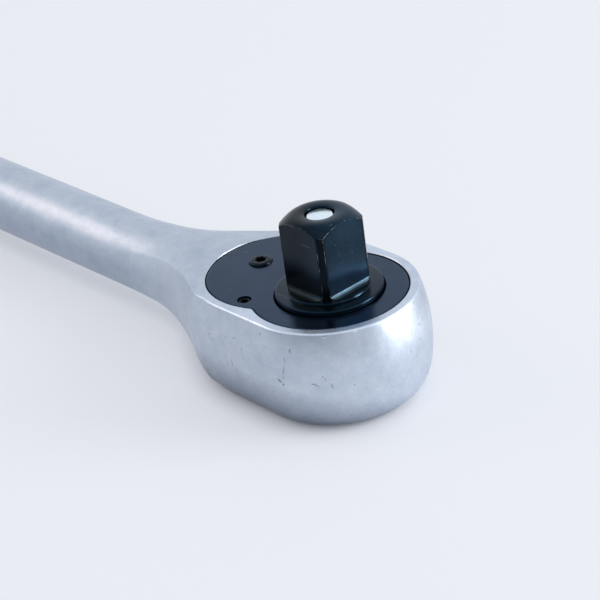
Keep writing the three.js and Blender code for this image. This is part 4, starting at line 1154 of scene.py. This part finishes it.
# The stage is a wide pale tabletop in a bright room, a little darker in front and low down.
# A broad soft lamp and a low strip lamp stand on the right, and a weak warm lamp on the left.
# The camera stands in front of the head on the near side and looks down along the handle.
TABLE_HALF = 6.0
TABLE_DROP = 0.0001
GLOW_SHARE = 0.52
HEAD_PLACE = (0.17, 0.0, 0.015)
CAMERA_PLACE = (0.44413, -0.21828, 0.2062)


def shown_share(tree):
    """1 for rays from the camera, mirrored and through clear things too, and 0 for light on a surface."""
    path = tree.nodes.new("ShaderNodeLightPath").outputs
    seen = arithmetic(tree, "MAXIMUM", path["Is Camera Ray"], path["Is Glossy Ray"])
    return arithmetic(tree, "MAXIMUM", seen, path["Is Transmission Ray"])


def choose_shader(tree, share, first, second, output):
    """Shows the first shader where the share is 0 and the second where it is 1."""
    choice = tree.nodes.new("ShaderNodeMixShader")
    for socket, value in zip(choice.inputs, (share, first, second)):
        tree.links.new(value, socket)
    tree.links.new(choice.outputs["Shader"], output.inputs["Surface"])


table_corners = [(-1, -1), (1, -1), (1, 1), (-1, 1)]
table_mesh = bpy.data.meshes.new("tabletop")
table_mesh.from_pydata([(x * TABLE_HALF, y * TABLE_HALF, 0) for x, y in table_corners], [], [(0, 1, 2, 3)])
tabletop = add_object("tabletop", table_mesh)
tabletop.location.z = -TABLE_DROP
table_finish, table_tree, table_shader = new_finish("pale_table", 0.0, (0.835, 0.85, 0.885), 0.6)
table_glow = add_node(table_tree, "ShaderNodeEmission", Color=(0.82, 0.85, 0.915, 1.0))
nearness = add_node(table_tree, "ShaderNodeAmbientOcclusion", {"samples": 8}, Distance=0.005)
table_open = product(table_tree, nearness.outputs["AO"], GLOW_SHARE)
table_share = product(table_tree, shown_share(table_tree), table_open)
choose_shader(table_tree, table_share, table_shader.outputs["BSDF"], table_glow.outputs["Emission"],
              table_tree.nodes["Material Output"])
coat(tabletop, table_finish)


def soft_lamp(name, size, watts, place, colour):
    data = bpy.data.lights.new(name, "AREA")
    data.shape = "RECTANGLE"
    data.size, data.size_y = size
    data.energy = watts
    data.color = colour
    lamp = add_object(name, data)
    lamp.location = place
    lamp.rotation_euler = (Vector(HEAD_PLACE) - Vector(place)).to_track_quat("-Z", "Y").to_euler()


soft_lamp("warm", size=(0.7, 0.55), watts=1.7, place=(-0.73, -0.56, 0.75), colour=(1.0, 0.79, 0.66))
soft_lamp("broad", size=(0.7, 0.9), watts=9.5, place=(1.05, 0.8, 0.48), colour=(1.0, 0.98, 0.96))
soft_lamp("low", size=(0.4, 0.12), watts=5.0, place=(1.115, 0.7, 0.065), colour=(1.0, 0.98, 0.96))

world = bpy.data.worlds.new("studio")
bpy.context.scene.world = world
world.use_nodes = True
world_tree = world.node_tree
world_tree.nodes.clear()
heading = world_tree.nodes.new("ShaderNodeTexCoord").outputs["Generated"]
facing = vector_math(world_tree, "DOT_PRODUCT", heading, (0.35, -0.93, 0.09), "Value")
low_down = spread(world_tree, axes_of(world_tree, heading)["Z"], 1.0, 0.35, 0.12, 0.45)
unlit = product(world_tree, rising(world_tree, facing, 0.35, 0.95), low_down)
room = mixed(world_tree, unlit, (0.82, 0.86, 0.92), (0.2, 0.23, 0.28))
seen = add_node(world_tree, "ShaderNodeBackground", Color=room)
ambient = add_node(world_tree, "ShaderNodeBackground", Color=(0.94, 0.965, 1.0, 1.0), Strength=0.78)
choose_shader(world_tree, shown_share(world_tree), ambient.outputs["Background"], seen.outputs["Background"],
              world_tree.nodes.new("ShaderNodeOutputWorld"))

azimuth, elevation, roll = math.radians(51.418), math.radians(28.414), math.radians(8.218)
backward = Vector((math.sin(azimuth) * math.cos(elevation), -math.cos(azimuth) * math.cos(elevation),
                   math.sin(elevation)))
rightward = Vector((math.cos(azimuth), math.sin(azimuth), 0.0))
upward = backward.cross(rightward)
image_right = math.cos(roll) * rightward - math.sin(roll) * upward
image_up = math.sin(roll) * rightward + math.cos(roll) * upward
camera_data = bpy.data.cameras.new("camera")
camera_data.lens = 116.93
camera_data.sensor_width = 36.0
camera_data.clip_start = 0.01
camera = add_object("camera", camera_data)
camera_matrix = Matrix((image_right, image_up, backward)).transposed().to_4x4()
camera_matrix.translation = Vector(CAMERA_PLACE)
camera.matrix_world = camera_matrix
bpy.context.scene.camera = camera
bpy.context.scene.view_settings.view_transform = "Standard"
